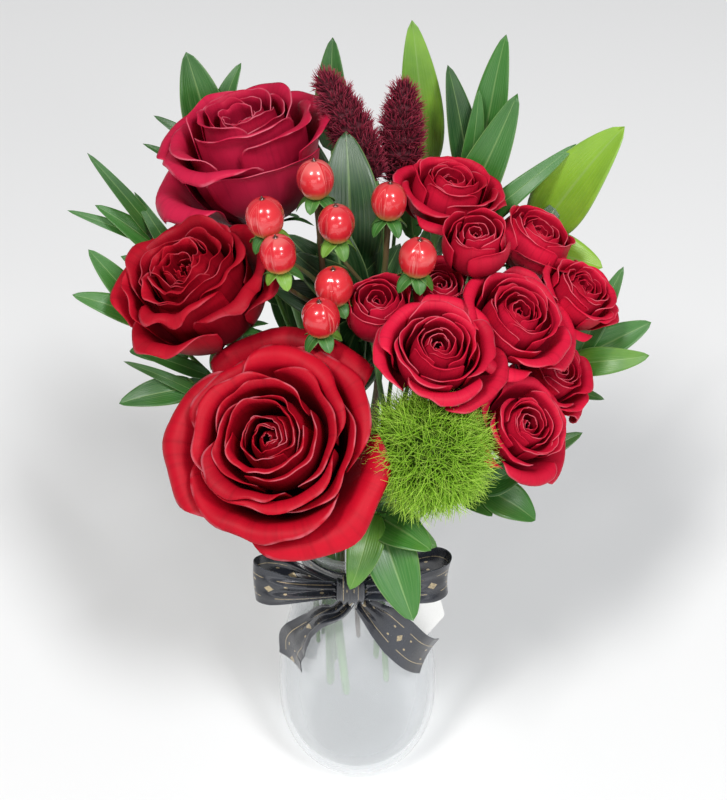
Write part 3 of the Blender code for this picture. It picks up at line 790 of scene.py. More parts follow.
class PetalPath(Enum):
    """Meridians of petals from the heart to the outside, in shares of the bloom's radius.

    A row is layer, two handles and the end as (radius, height), half-angle and roll in degrees.
    """

    GARDEN = (
        (0.00, 0.22, -0.45, 0.20, 0.05, 0.045, 0.26, 150, 15),
        (0.16, 0.32, -0.50, 0.30, 0.08, 0.17, 0.36, 118, 35),
        (0.34, 0.44, -0.52, 0.43, 0.10, 0.35, 0.42, 88, 60),
        (0.55, 0.60, -0.56, 0.58, 0.04, 0.56, 0.37, 70, 85),
        (0.78, 0.78, -0.58, 0.74, -0.06, 0.80, 0.20, 56, 120),
        (1.00, 0.86, -0.58, 0.86, -0.26, 1.02, -0.04, 50, 135),
    )
    SPRAY = (
        (0.00, 0.26, -0.50, 0.22, 0.08, 0.06, 0.30, 125, 10),
        (0.20, 0.40, -0.55, 0.38, 0.10, 0.24, 0.40, 80, 30),
        (0.45, 0.58, -0.60, 0.54, 0.10, 0.46, 0.42, 62, 60),
        (0.70, 0.76, -0.62, 0.72, 0.00, 0.72, 0.32, 54, 90),
        (0.88, 0.86, -0.62, 0.82, -0.12, 0.92, 0.12, 50, 125),
        (1.00, 0.88, -0.62, 0.90, -0.30, 1.08, -0.10, 48, 150),
    )
    BUD = (
        (0.00, 0.24, -0.55, 0.22, 0.10, 0.07, 0.32, 120, 0),
        (0.25, 0.40, -0.60, 0.40, 0.12, 0.26, 0.42, 80, 15),
        (0.55, 0.66, -0.62, 0.66, 0.08, 0.50, 0.44, 66, 35),
        (0.80, 0.86, -0.62, 0.86, 0.00, 0.72, 0.36, 62, 60),
        (1.00, 0.92, -0.60, 0.98, -0.06, 0.94, 0.22, 56, 100),
    )


@dataclass
class Bloom:
    """Rose bloom of overlapping petals wound in a spiral, with its green calyx."""

    name: str
    node: str
    finish: PetalFinish
    slot: str
    path: PetalPath = PetalPath.GARDEN
    petals: int = 24
    columns: int = 33
    rows: int = 23
    lean: float = 1.0
    spin: float = 0.0
    size: float = 1.15
    height: float = 1.0
    wave: float = 0.035
    ragged: float = 0.018
    roll_radius: float = 0.105
    roll_share: float = 0.24
    thickness: float = 0.00040
    hip: float = 0.14
    seed: int = 1
    foot: tuple[float, float] = (0.08, -0.66)
    face: float = 0.30
    tip: float = 0.12
    settle: float = 0.15
    narrowest: float = 0.012
    rng: np.random.Generator = field(init=False)
    phases: np.ndarray = field(init=False)

    def __post_init__(self) -> None:
        """Seed the bloom's own random numbers."""
        self.rng = np.random.default_rng(self.seed)
        self.phases = self.rng.uniform(0, 2 * math.pi, 8)

    def waves(self, angle: np.ndarray, layer: float) -> np.ndarray:
        """Undulation round the bloom that neighbouring petals share.

        Args:
            angle: Angle round the bloom.
            layer: 0 for the heart, 1 for the outside.

        Returns:
            Undulation from about -1 to 1.
        """
        a, b, c, d = self.phases[:4]
        return (0.50 * np.sin(3 * angle + a + 4 * layer)
                + 0.32 * np.sin(5 * angle + b - 5 * layer)
                + 0.22 * np.sin(8 * angle + c + 7 * layer)
                + 0.12 * np.sin(13 * angle + d + 9 * layer))

    def petal(self, layer: float, spin: float) -> tuple[np.ndarray, np.ndarray, np.ndarray]:
        """One petal, in shares of the bloom's radius.

        Args:
            layer: 0 for the heart, 1 for the outside.
            spin: Angle of the petal's middle.

        Returns:
            Its grid of points, and how far along and across it each one is.
        """
        keys = np.array(self.path.value)
        r1, z1, r2, z2, r3, z3, half, roll = (np.interp(layer, keys[:, 0], keys[:, column])
                                              for column in range(1, keys.shape[1]))
        jitter = self.rng.normal(0, 1, 5)
        r3 *= 1 + 0.055 * jitter[0]
        z3 += 0.035 * jitter[1] * (0.4 + layer)
        roll = math.radians(roll) * (1 + 0.25 * jitter[2])
        half = math.radians(half) * (1 + 0.10 * jitter[3])
        across = np.linspace(-1, 1, self.columns)[None, :]
        along = np.linspace(0, 1, self.rows)[:, None] ** 0.85
        phase = self.rng.uniform(0, 2 * math.pi, 3)
        frill = self.ragged * (0.5 + layer) * (np.sin(4 * across + phase[0])
                                               + 0.6 * np.sin(8 * across + phase[1])
                                               + 0.3 * np.sin(14 * across + phase[2]))
        point = self.tip * layer * self.rng.uniform(0.3, 1.0)
        point = point * np.clip(1 - np.abs(across) / 0.4, 0, 1) ** 1.5
        reach = 1 - 0.24 * np.abs(across) ** 2.6 + point + frill
        run = along * reach
        body = np.clip(run / (1 - self.roll_share), 0, 1)
        radius = cubic(body, self.foot[0], r1, r2, r3)
        rise = cubic(body, self.foot[1], z1, z2, z3)
        curl = np.clip((run - 1 + self.roll_share) / self.roll_share, 0, 1.2)
        curl = curl * roll * (0.80 + 0.50 * np.abs(across) ** 1.6)
        heading = math.atan2(z3 - z2, r3 - r2)
        bend = self.roll_radius * (0.6 + 0.8 * layer)
        radius = radius + bend * (math.sin(heading) - np.sin(heading - curl))
        rise = rise + bend * (np.cos(heading - curl) - math.cos(heading))
        spread = 0.40 + 0.60 * np.sin(np.clip(run / 0.62, 0, 1) * math.pi / 2)
        angle = spin + half * across * spread
        lift = np.clip(run, 0, 1.1) ** 3
        swell = self.waves(angle, layer) * lift * self.wave
        radius = radius + swell * (0.5 + 0.8 * layer) + 0.050 * across * (0.25 + 0.75 * run)
        rise = rise + self.waves(angle + 1.3, layer) * lift * self.wave * 0.8
        rise = rise - 0.05 * layer * np.abs(across) ** 3 * lift
        radius = np.maximum(radius, self.narrowest)
        points = np.stack([radius * np.cos(angle), radius * np.sin(angle), rise * self.height],
                          axis=2)
        size = points.shape[:2]
        return points, np.broadcast_to(along, size), np.broadcast_to(across, size)

    def build(self) -> bpy.types.Object:
        """Build the bloom and its calyx.

        Returns:
            The bloom.
        """
        head = Head.of(self.node, self.lean, self.settle)
        radius = head.radius * self.size
        place = axis_matrix(head.centre, head.axis, self.spin) @ Matrix.Scale(radius, 4)
        facing = place.to_3x3().inverted() @ head.axis.lerp(VIEW, self.face)
        turn = np.array(UP.rotation_difference(facing).to_matrix())
        work = Patchwork()
        faces = grid_faces(self.rows, self.columns)
        for number in range(self.petals):
            layer = (number / (self.petals - 1)) ** 0.92
            spin = number * GOLDEN_ANGLE + self.rng.normal(0, 0.10)
            points, along, across = self.petal(layer, spin)
            points = bend_up(points.reshape(-1, 3), turn, self.foot[1] * self.height)
            work.add(points, faces, along=along, across=across, layer=layer,
                     tone=self.rng.uniform())
        piece = work.build(self.name, self.finish.material(), self.thickness, place)
        place_piece(piece, self.slot, self.node)
        Calyx(self.name + "_calyx", place, self.foot[1] * self.height, self.hip, self.seed).build()
        return piece


@dataclass
class Calyx:
    """Green hip and five pointed sepals under a rose, in shares of the bloom's radius."""

    name: str
    place: Matrix
    foot: float
    hip: float
    seed: int
    sepals: int = 5
    length: float = 0.52
    width: float = 0.20

    def build(self) -> bpy.types.Object:
        """Build the calyx."""
        rng = np.random.default_rng(self.seed + 100)
        work = Patchwork()
        neck = self.foot - self.hip * 1.2
        outline = [(0.0, neck), (self.hip * 0.5, neck), (self.hip * 0.8, neck + self.hip * 0.35),
                   (self.hip, neck + self.hip * 0.9), (self.hip * 0.95, neck + self.hip * 1.5),
                   (0.0, self.foot + 0.10)]
        points, faces = lathe(outline, 16)
        work.add(points, faces, along=0.2, across=0.5, tone=0.5)
        for number in range(self.sepals):
            angle = 2 * math.pi * number / self.sepals + rng.normal(0, 0.15)
            out = Vector((math.cos(angle), math.sin(angle), 0))
            root = out * self.hip * 0.85 + UP * (self.foot - self.hip * 0.1)
            bend = rng.uniform(-0.35, 0.25)
            leaf = LeafShape(root, root + out * self.length * 0.8 + UP * self.length * bend,
                             self.width, -UP + out * 0.3, arch=-0.18, columns=5, rows=9)
            leaf.sew(work, tone=rng.uniform(0.35, 0.6))
        finish = LeafFinish("rose_calyx_green", veins=5.0, roughness=0.45)
        piece = work.build(self.name, finish.material(), 0.0, self.place)
        return place_piece(piece, "green_stem")


# ---- leaves

@dataclass
class LeafShape:
    """Pointed leaf as a closed thin shell, from its root to its tip."""

    root: Vector
    tip: Vector
    width: float
    face: Vector
    fold: float = 0.20
    arch: float = 0.08
    twist: float = 0.0
    ripple: float = 0.0
    columns: int = 11
    rows: int = 21
    thickness: float = 0.012
    fullness: float = 0.60
    least: float = 0.00002

    def sew(self, work: Patchwork, tone: float) -> None:
        """Add the leaf to a patchwork.

        Args:
            work: Patchwork that takes it.
            tone: 0 for a dark leaf, 1 for a lime one.
        """
        direction = self.tip - self.root
        length = direction.length
        direction = np.array(direction) / length
        face = np.array(self.face, float)
        face = face - direction * (face @ direction)
        face = face / np.linalg.norm(face)
        side = np.cross(direction, face)
        along = np.linspace(0, 1, self.rows)[:, None]
        across = np.linspace(-1, 1, self.columns)[None, :]
        breadth = np.sin(math.pi * along ** 0.80) ** self.fullness * (1 - 0.18 * along)
        breadth = breadth + 0.035 * (1 - along)
        reach = self.width / 2 * breadth * across
        turn = self.twist * (along - 0.3)
        ripple = self.ripple * self.width * np.sin(9 * along + 2.2 * across)
        rise = (np.abs(across) ** 1.3 * self.fold * self.width / 2 * breadth
                + np.sin(math.pi * along) * length * self.arch
                + ripple * np.abs(across) ** 2 * breadth)
        out = reach * np.cos(turn) - rise * np.sin(turn)
        up = reach * np.sin(turn) + rise * np.cos(turn)
        middle = (np.array(self.root) + direction * length * along[..., None]
                  + side * out[..., None] + face * up[..., None])
        half = self.thickness * self.width * (1 - 0.7 * np.abs(across) ** 2) * np.sqrt(np.sin(
            math.pi * np.clip(along, 0.03, 0.97)))
        half = np.broadcast_to(half, out.shape)[..., None] + self.least
        grid = np.concatenate([middle + face * half, middle - face * half])
        count = self.rows * self.columns
        top = grid_faces(self.rows, self.columns)
        faces = top + [tuple(corner + count for corner in reversed(quad)) for quad in top]
        ring = self.border()
        for near, far in zip(ring, ring[1:] + ring[:1]):
            faces.append((near, near + count, far + count, far))
        spread = np.broadcast_to(along, out.shape).ravel()
        wide = np.broadcast_to(across, out.shape).ravel()
        work.add(grid, faces, along=np.tile(spread, 2), across=np.tile(wide, 2), tone=tone)

    def border(self) -> list[int]:
        """Points round the edge of the grid, in turn."""
        last = (self.rows - 1) * self.columns
        return [*range(self.columns), *range(2 * self.columns - 1, last, self.columns),
                *range(last + self.columns - 1, last - 1, -1),
                *range(last - self.columns, 0, -self.columns)]


@dataclass(frozen=True)
class Leaf:
    """Leaf of a sprig: share of the stem where it grows, tip in millimetres off the mouth, width in
    millimetres, and tone from 0 dark to 1 lime."""

    share: float
    tip: tuple[float, float, float]
    width: float
    tone: float = 0.45


@dataclass(frozen=True)
class Sprig:
    """Ruscus sprig: place in the neck (share of the bore, degrees), cut height, end of its stem in
    millimetres off the mouth, and its leaves."""

    name: str
    neck: tuple[float, float]
    cut: float
    end: tuple[float, float, float]
    leaves: tuple[Leaf, ...]


SPRIGS = (
    Sprig("left_upper", (0.84, 165), 0.112, (-101, 52, 150), (
        Leaf(1.00, (-128, 45, 200), 9, 0.30), Leaf(0.93, (-128, 45, 171), 13, 0.40),
        Leaf(0.96, (-142, 45, 168), 7, 0.30), Leaf(0.86, (-117, 36, 147), 13, 0.35),
        Leaf(0.70, (-100, 60, 124), 14, 0.25), Leaf(0.80, (-108, 46, 178), 11, 0.25))),
    Sprig("left_mid", (0.84, 190), 0.103, (-112, 27, 126), (
        Leaf(1.00, (-131, 30, 155), 14, 0.45), Leaf(0.92, (-140, 20, 135), 14, 0.55),
        Leaf(0.97, (-129, 32, 146), 8, 0.35), Leaf(0.72, (-112, 12, 106), 9, 0.30),
        Leaf(0.56, (-90, 34, 70), 15, 0.25), Leaf(0.80, (-118, 30, 92), 13, 0.30))),
    Sprig("left_low", (0.84, 212), 0.140, (-84, 0, 98), (
        Leaf(1.00, (-118, -10, 90), 16, 0.35), Leaf(0.94, (-76, -20, 80), 15, 0.40),
        Leaf(0.90, (-115, 0, 109), 7, 0.30), Leaf(0.60, (-68, -18, 50), 15, 0.20),
        Leaf(0.80, (-92, 14, 66), 14, 0.25))),
    Sprig("back_left", (0.84, 125), 0.080, (-80, 124, 169), (
        Leaf(1.00, (-88, 126, 213), 25, 0.28), Leaf(0.96, (-60, 128, 206), 14, 0.26),
        Leaf(0.92, (-106, 112, 184), 9, 0.30), Leaf(0.86, (-112, 104, 172), 9, 0.28),
        Leaf(0.70, (-96, 104, 140), 16, 0.25), Leaf(0.54, (-48, 112, 104), 17, 0.30),
        Leaf(0.62, (-74, 118, 112), 16, 0.35), Leaf(0.44, (-70, 76, 74), 15, 0.25))),
    Sprig("back_middle", (0.84, 95), 0.142, (-14, 120, 170), (
        Leaf(1.00, (-12, 124, 222), 19, 0.28), Leaf(0.84, (-40, 132, 178), 16, 0.30),
        Leaf(0.70, (4, 120, 158), 16, 0.30), Leaf(0.50, (-26, 100, 104), 17, 0.35),
        Leaf(0.62, (10, 112, 112), 16, 0.30), Leaf(0.40, (-6, 84, 70), 15, 0.25))),
    Sprig("back", (0.58, 46), 0.146, (40, 114, 162), (
        Leaf(1.00, (28, 118, 234), 23, 0.72), Leaf(0.80, (22, 126, 176), 17, 0.30),
        Leaf(0.66, (58, 112, 146), 16, 0.30), Leaf(0.46, (38, 92, 96), 16, 0.30),
        Leaf(0.56, (44, 114, 108), 16, 0.35))),
    Sprig("back_right", (0.84, 50), 0.138, (67, 104, 169), (
        Leaf(1.00, (75, 110, 230), 19, 0.45), Leaf(0.95, (46, 105, 216), 17, 0.12),
        Leaf(0.91, (62, 98, 206), 12, 0.40), Leaf(0.82, (80, 86, 210), 24, 0.38),
        Leaf(0.78, (112, 86, 182), 13, 0.50), Leaf(0.58, (96, 98, 136), 16, 0.30),
        Leaf(0.48, (70, 92, 90), 15, 0.25))),
    Sprig("right_upper", (0.84, 24), 0.144, (101, 90, 135), (
        Leaf(1.00, (134, 80, 195), 33, 0.85), Leaf(0.92, (128, 58, 125), 24, 0.88),
        Leaf(0.74, (112, 96, 112), 16, 0.40), Leaf(0.56, (92, 76, 84), 16, 0.30),
        Leaf(0.84, (108, 84, 152), 16, 0.10))),
    Sprig("right", (0.84, 5), 0.136, (120, 32, 90), (
        Leaf(1.00, (152, 35, 107), 18, 0.50), Leaf(0.95, (150, 20, 97), 16, 0.58),
        Leaf(0.97, (136, 46, 134), 13, 0.35), Leaf(0.84, (128, 10, 76), 9, 0.30),
        Leaf(0.62, (100, 42, 56), 16, 0.30), Leaf(0.74, (116, 52, 74), 14, 0.30))),
    Sprig("right_low", (0.84, 325), 0.148, (72, -18, 44), (
        Leaf(1.00, (117, 0, 62), 15, 0.40), Leaf(0.90, (92, -10, 51), 19, 0.40),
        Leaf(0.94, (93, -27, 25), 21, 0.50), Leaf(0.80, (70, -30, 31), 12, 0.55),
        Leaf(0.70, (78, 12, 30), 15, 0.30))),
    Sprig("front", (0.84, 268), 0.150, (10, -54, 58), (
        Leaf(1.00, (-3, -82, 33), 19, 0.66), Leaf(0.97, (28, -88, 17), 27, 0.56),
        Leaf(0.94, (36, -76, 54), 22, 0.52), Leaf(0.90, (40, -60, 40), 17, 0.62),
        Leaf(0.82, (-20, -50, 31), 14, 0.15))),
    # painted shade: the inner sprig's leaves have near-dark tones that stand in for the shade deep
    # inside the bouquet
    Sprig("inner", (0.58, 150), 0.152, (-2, 40, 142), (
        Leaf(1.00, (-5, 66, 200), 34, 0.03), Leaf(0.90, (-34, 36, 160), 24, 0.04),
        Leaf(0.84, (-42, 34, 130), 22, 0.10), Leaf(0.76, (-26, 4, 136), 24, 0.05),
        Leaf(0.66, (24, 48, 120), 20, 0.10), Leaf(0.72, (-20, -18, 122), 20, 0.10),
        Leaf(0.80, (14, 10, 146), 20, 0.06), Leaf(0.60, (-52, -24, 100), 18, 0.12),
        Leaf(0.88, (9, 46, 166), 24, 0.02), Leaf(0.78, (22, 40, 152), 24, 0.06),
        Leaf(0.70, (18, 22, 134), 22, 0.04), Leaf(0.82, (40, 52, 146), 22, 0.10),
        Leaf(0.62, (28, 12, 122), 20, 0.06), Leaf(0.90, (-30, 26, 156), 22, 0.05),
        Leaf(0.86, (-14, 44, 172), 26, 0.02), Leaf(0.74, (4, 8, 130), 24, 0.03))),
)


@dataclass
class Foliage:
    """All ruscus sprigs: stems from their cut feet through the neck, and the leaves on them."""

    bore: float = 0.028
    neck_drop: float = 0.022
    twist: float = math.radians(25)
    splay: float = 1.15
    splay_height: float = 0.050
    pull: float = 0.38
    steps: int = 24
    stem_radius: float = 0.0012
    seed: int = 5
    finish: LeafFinish = LeafFinish("ruscus_green")
    stem_finish: StemFinish = StemFinish("ruscus_stem", (0.06, 0.16, 0.02), (0.12, 0.26, 0.04))

    def neck_point(self, neck: tuple[float, float]) -> Vector:
        """Point in the neck from a share of the bore and an angle in degrees."""
        return round_vase(math.radians(neck[1]), self.bore * neck[0], MOUTH.z - self.neck_drop)

    def foot_point(self, neck: tuple[float, float], height: float) -> Vector:
        """Point where a stem is cut, turned a little about the vase's axis."""
        start = self.neck_point(neck)
        full = round_vase(math.radians(neck[1]) + self.twist, self.bore * neck[0] * self.splay,
                          self.splay_height)
        return start.lerp(full, (start.z - height) / (start.z - self.splay_height))

    def route(self, sprig: Sprig) -> list[Vector]:
        """Smooth route of a sprig's stem above the neck."""
        end = from_mouth(sprig.end)
        axis = (end - MOUTH).normalized()
        start = self.neck_point(sprig.neck)
        foot = self.foot_point(sprig.neck, sprig.cut)
        reach = (end - start).length * self.pull
        rise = ((start - foot).normalized() + UP).normalized()
        return [cubic(step / self.steps, start, start + rise * reach, end - axis * reach, end)
                for step in range(self.steps + 1)]

    def build(self) -> None:
        """Build every sprig as leaves and a stem."""
        leaf_material = self.finish.material()
        stem_material = self.stem_finish.material()
        rng = np.random.default_rng(self.seed)
        for sprig in SPRIGS:
            upper = self.route(sprig)
            leaves = Patchwork()
            for leaf in sprig.leaves:
                root = upper[int(min(leaf.share, 0.985) * (len(upper) - 1))]
                shape = LeafShape(root, from_mouth(leaf.tip), leaf.width * MM, FRONT,
                                  fold=rng.uniform(0.12, 0.34), arch=rng.uniform(0.04, 0.12),
                                  twist=rng.uniform(-0.5, 0.5), ripple=rng.uniform(0.0, 0.03))
                shape.sew(leaves, leaf.tone + rng.uniform(-0.05, 0.05))
            name = "ruscus_leaves_" + sprig.name
            place_piece(leaves.build(name, leaf_material), "ruscus_leaf", "ruscus_" + sprig.name)
            whole = [self.foot_point(sprig.neck, sprig.cut)] + upper
            radii = [self.stem_radius * (1 - 0.1 * max(0, number + 7 - len(whole)))
                     for number in range(len(whole))]
            stem = Patchwork()
            stem.add(*tube(whole, radii, 10))
            place_piece(stem.build("ruscus_twig_" + sprig.name, stem_material), "green_stem")


# ---- stems

@dataclass
class Stems:
    """Stems of the flowers: rounded copies of their nodes, which are lightly faceted."""

    green: StemFinish = StemFinish("rose_stem_green", (0.060, 0.170, 0.035),
                                   (0.150, 0.330, 0.090))
    brown: StemFinish = StemFinish("berry_stem_brown", (0.100, 0.045, 0.020),
                                   (0.130, 0.140, 0.050))
    levels: int = 2
    sharp: float = math.radians(72)
    crease: float = 0.9
    weld: float = 0.000005

    def build(self) -> None:
        """Build one rounded stem for each node."""
        green = self.green.material()
        brown = self.brown.material()
        for node in sorted(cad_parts):
            if "_stem" in node:
                self.rounded(node, brown if node.startswith("hypericum") else green)

    def rounded(self, node: str, material: bpy.types.Material) -> bpy.types.Object:
        """Rounded copy of a node's mesh.

        Args:
            node: CAD node of the stem.
            material: Its finish.

        Returns:
            The piece.
        """
        shape = bmesh.new()
        shape.from_mesh(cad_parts[node].data)
        bmesh.ops.remove_doubles(shape, verts=shape.verts, dist=self.weld)
        bmesh.ops.join_triangles(shape, faces=shape.faces, angle_face_threshold=0.35,
                                 angle_shape_threshold=1.2)
        shape.normal_update()
        crease = shape.edges.layers.float.new("crease_edge")
        for edge in shape.edges:
            if len(edge.link_faces) == 2 and edge.calc_face_angle() > self.sharp:
                edge[crease] = self.crease
        mesh = bpy.data.meshes.new(node + "_round")
        shape.to_mesh(mesh)
        shape.free()
        piece = show(node.replace("_stem", "_stalk"), mesh, material)
        rounding = piece.modifiers.new("rounding", "SUBSURF")
        rounding.levels = rounding.render_levels = self.levels
        return place_piece(piece, "green_stem", node)


# ---- berries

@dataclass
class Berry:
    """Hypericum berry with three soft grooves, a dark style and green sepals under it."""

    number: int
    size: float = 1.22
    grooves: int = 3
    groove_depth: float = 0.085
    sides: int = 48
    turns: int = 22
    sepals: int = 5
    lean: float = 0.5
    settle: float = -0.12
    taller: float = 1.06
    sepal_width: float = 0.84
    seed: int = 40

    def build(self, skin: bpy.types.Material, leaf: bpy.types.Material) -> bpy.types.Object:
        """Build the berry and its sepals.

        Args:
            skin: Finish of the berry.
            leaf: Finish of the sepals.

        Returns:
            The berry.
        """
        rng = np.random.default_rng(self.seed + self.number)
        node = f"hypericum_berry_{self.number}"
        head = Head.of(node, self.lean, self.settle)
        place = axis_matrix(head.centre, head.axis, rng.uniform(0, 2)) @ Matrix.Scale(
            head.radius / 0.95 * self.size, 4) @ Matrix.Scale(self.taller, 4, UP)
        outline = [(0.0, -0.92)]
        for turn in range(1, self.turns):
            angle = math.pi * turn / self.turns
            belly = math.sin(angle) ** 0.86 * (1.0 - 0.10 * math.cos(angle)) * 0.97
            outline.append((belly * (1 + 0.06 * math.cos(angle)), -math.cos(angle) * 0.98))
        outline += [(0.070, 1.03), (0.050, 1.14), (0.0, 1.17)]
        points, faces = lathe(outline, self.sides)
        angle = np.arctan2(points[:, 1], points[:, 0])
        sector = 2 * math.pi / self.grooves
        away = np.abs((angle + sector / 2) % sector - sector / 2)
        groove = np.exp(-(away / 0.20) ** 2) * np.clip(1 - np.abs(points[:, 2]) ** 3, 0, 1)
        points[:, :2] *= (1 - self.groove_depth * groove)[:, None]
        along = np.clip((points[:, 2] + 0.95) / 2.0, 0, 1)
        body = Patchwork()
        body.add(points, faces, along=along, groove=groove, tone=rng.uniform())
        piece = body.build(node + "_skin", skin, 0.0, place)
        green = Patchwork()
        for number in range(self.sepals):
            turn = 2 * math.pi * number / self.sepals + rng.normal(0, 0.2)
            out = Vector((math.cos(turn), math.sin(turn), 0))
            root = out * 0.12 - UP * 0.93
            tip = out * rng.uniform(0.90, 1.15) - UP * rng.uniform(1.35, 1.80)
            shape = LeafShape(root, tip, self.sepal_width, UP + out * 0.4, fold=0.25, arch=0.12,
                              columns=7, rows=11, thickness=0.03, fullness=0.45)
            shape.sew(green, tone=rng.uniform(0.40, 0.75))
        sepals = green.build(node + "_sepals", leaf, 0.0, place)
        place_piece(sepals, "green_stem")
        return place_piece(piece, "berry_skin", node)


# ---- fibres

@dataclass
class FibreTree:
    """Geometry Nodes tree that grows curved fibres on a body's surface."""

    name: str
    count: float
    length: float
    thickness: float
    bend: float
    tilt: float
    upright: float
    seed: int
    steps: int = 4
    sides: int = 3
    point_radius: float = 0.00004
    sizes: tuple[float, float] = (0.70, 1.15)

    def build(self, material: bpy.types.Material) -> tuple[bpy.types.NodeTree, dict[str, Any]]:
        """Build the tree.

        Args:
            material: Finish that it sets.

        Returns:
            The tree, and the value of each input by its socket's identifier.
        """
        tree = bpy.data.node_groups.new(self.name, "GeometryNodeTree")
        values = {"Fibres per square metre": self.count, "Length": self.length,
                  "Thickness": self.thickness, "Bend": self.bend, "Tilt": self.tilt,
                  "Upright": self.upright}
        tree.interface.new_socket("Body", in_out="INPUT", socket_type="NodeSocketGeometry")
        sockets = {label: tree.interface.new_socket(
            label, in_out="INPUT", socket_type="NodeSocketFloat").identifier for label in values}
        tree.interface.new_socket("Fibres", in_out="OUTPUT", socket_type="NodeSocketGeometry")
        given = tree.nodes.new("NodeGroupInput").outputs
        length = Wire(tree, given["Length"])
        nodes = Nodes(tree)
        add = nodes.add

        def chance(step: int, low: float, high: float) -> Wire:
            """Random value between two ends."""
            return add("FunctionNodeRandomValue", {2: low, 3: high, "Seed": self.seed + step}, 1,
                       data_type="FLOAT")

        line = add("GeometryNodeCurveQuadraticBezier", {
            "Resolution": self.steps, "Start": (0.0, 0.0, 0.0),
            "Middle": add("ShaderNodeCombineXYZ", {"Z": length * 0.55}),
            "End": add("ShaderNodeCombineXYZ", {"X": length * given["Bend"], "Z": length})})
        along = add("GeometryNodeSplineParameter", output="Factor")
        marked = add("GeometryNodeStoreNamedAttribute", {
            "Geometry": line, "Name": "along", "Value": along}, data_type="FLOAT", domain="POINT")
        taper = add("ShaderNodeMapRange", {
            "Value": along, "To Min": given["Thickness"], "To Max": self.point_radius})
        profile = add("GeometryNodeCurvePrimitiveCircle", {
            "Resolution": self.sides, "Radius": 1.0}, mode="RADIUS")
        fibre = add("GeometryNodeCurveToMesh", {
            "Curve": add("GeometryNodeSetCurveRadius", {"Curve": marked, "Radius": taper}),
            "Profile Curve": profile, "Scale": taper, "Fill Caps": True})
        spots = add("GeometryNodeDistributePointsOnFaces", {
            "Mesh": given["Body"], "Density": given["Fibres per square metre"],
            "Seed": self.seed}, "Points", distribute_method="RANDOM")
        aimed = add("ShaderNodeVectorMath", {
            0: spots.beside("Normal"), 1: add("ShaderNodeCombineXYZ", {"Z": given["Upright"]})},
            operation="ADD")
        scatter = add("FunctionNodeRandomValue", {
            0: (-1.0, -1.0, -1.0), 1: (1.0, 1.0, 1.0), "Seed": self.seed + 1},
            data_type="FLOAT_VECTOR")
        shaken = add("ShaderNodeVectorMath", {0: scatter, "Scale": given["Tilt"]},
                     operation="SCALE")
        heading = add("ShaderNodeVectorMath", {0: aimed, 1: shaken}, operation="ADD")
        aligned = add("FunctionNodeAlignRotationToVector", {"Vector": heading}, axis="Z")
        spin = add("ShaderNodeCombineXYZ", {"Z": chance(2, 0.0, 2 * math.pi)})
        rotation = add("FunctionNodeRotateRotation", {
            0: aligned, 1: add("FunctionNodeEulerToRotation", {0: spin})}, rotation_space="LOCAL")
        planted = add("GeometryNodeInstanceOnPoints", {
            "Points": spots, "Instance": fibre, "Rotation": rotation,
            "Scale": chance(3, *self.sizes)})
        toned = add("GeometryNodeStoreNamedAttribute", {
            "Geometry": planted, "Name": "tone", "Value": chance(4, 0.0, 1.0)},
            data_type="FLOAT", domain="INSTANCE")
        real = add("GeometryNodeRealizeInstances", {"Geometry": toned})
        nodes.end("NodeGroupOutput", add("GeometryNodeSetMaterial", {
            "Geometry": real, "Material": material}))
        return tree, {identifier: values[label] for label, identifier in sockets.items()}


def grow(name: str, body: Patchwork, fibres: FibreTree, material: bpy.types.Material,
         place: Matrix) -> bpy.types.Object:
    """Grow fibres on a body and turn them into a plain mesh.

    Args:
        name: Name of the piece.
        body: Body that carries the fibres, in its own frame.
        fibres: What grows.
        material: Finish of the fibres.
        place: Matrix that puts the result where it belongs.

    Returns:
        The piece.
    """
    carrier = body.build(name + "_carrier", material)
    tree, values = fibres.build(material)
    modifier = carrier.modifiers.new("fibres", "NODES")
    modifier.node_group = tree
    for identifier, value in values.items():
        modifier[identifier] = value
    evaluated = carrier.evaluated_get(bpy.context.evaluated_depsgraph_get())
    mesh = bpy.data.meshes.new_from_object(evaluated)
    bpy.data.objects.remove(carrier, do_unlink=True)
    mesh.name = name
    mesh.transform(place)
    return show(name, mesh, material)


@dataclass
class DianthusHead:
    """Moss dianthus: a dark core under a dense ball of fine green filaments."""

    node: str = "dianthus_head"
    core: float = 0.70
    density: float = 1000000.0
    filament: float = 0.50
    filament_radius: float = 0.00040
    finish: FibreFinish = FibreFinish("dianthus_green", (0.090, 0.190, 0.012),
                                      (0.300, 0.580, 0.030), (0.600, 0.850, 0.140))

    def build(self) -> None:
        """Build the core and the filaments."""
        head = Head.of(self.node)
        place = axis_matrix(head.centre, head.axis)
        material = self.finish.material()
        radius = head.radius * self.core
        points, faces = lathe(oval(radius, radius, 16), 32)
        ball = Patchwork()
        ball.add(points, faces, along=0.0, tone=0.3)
        place_piece(ball.build("dianthus_core", material, 0.0, place), "dianthus_tufts")
        fibres = FibreTree("dianthus_filaments", self.density, head.radius * self.filament,
                           self.filament_radius, bend=0.60, tilt=0.60, upright=0.05, seed=11)
        piece = grow("dianthus_tufts", ball, fibres, material, place)
        place_piece(piece, "dianthus_tufts", self.node)


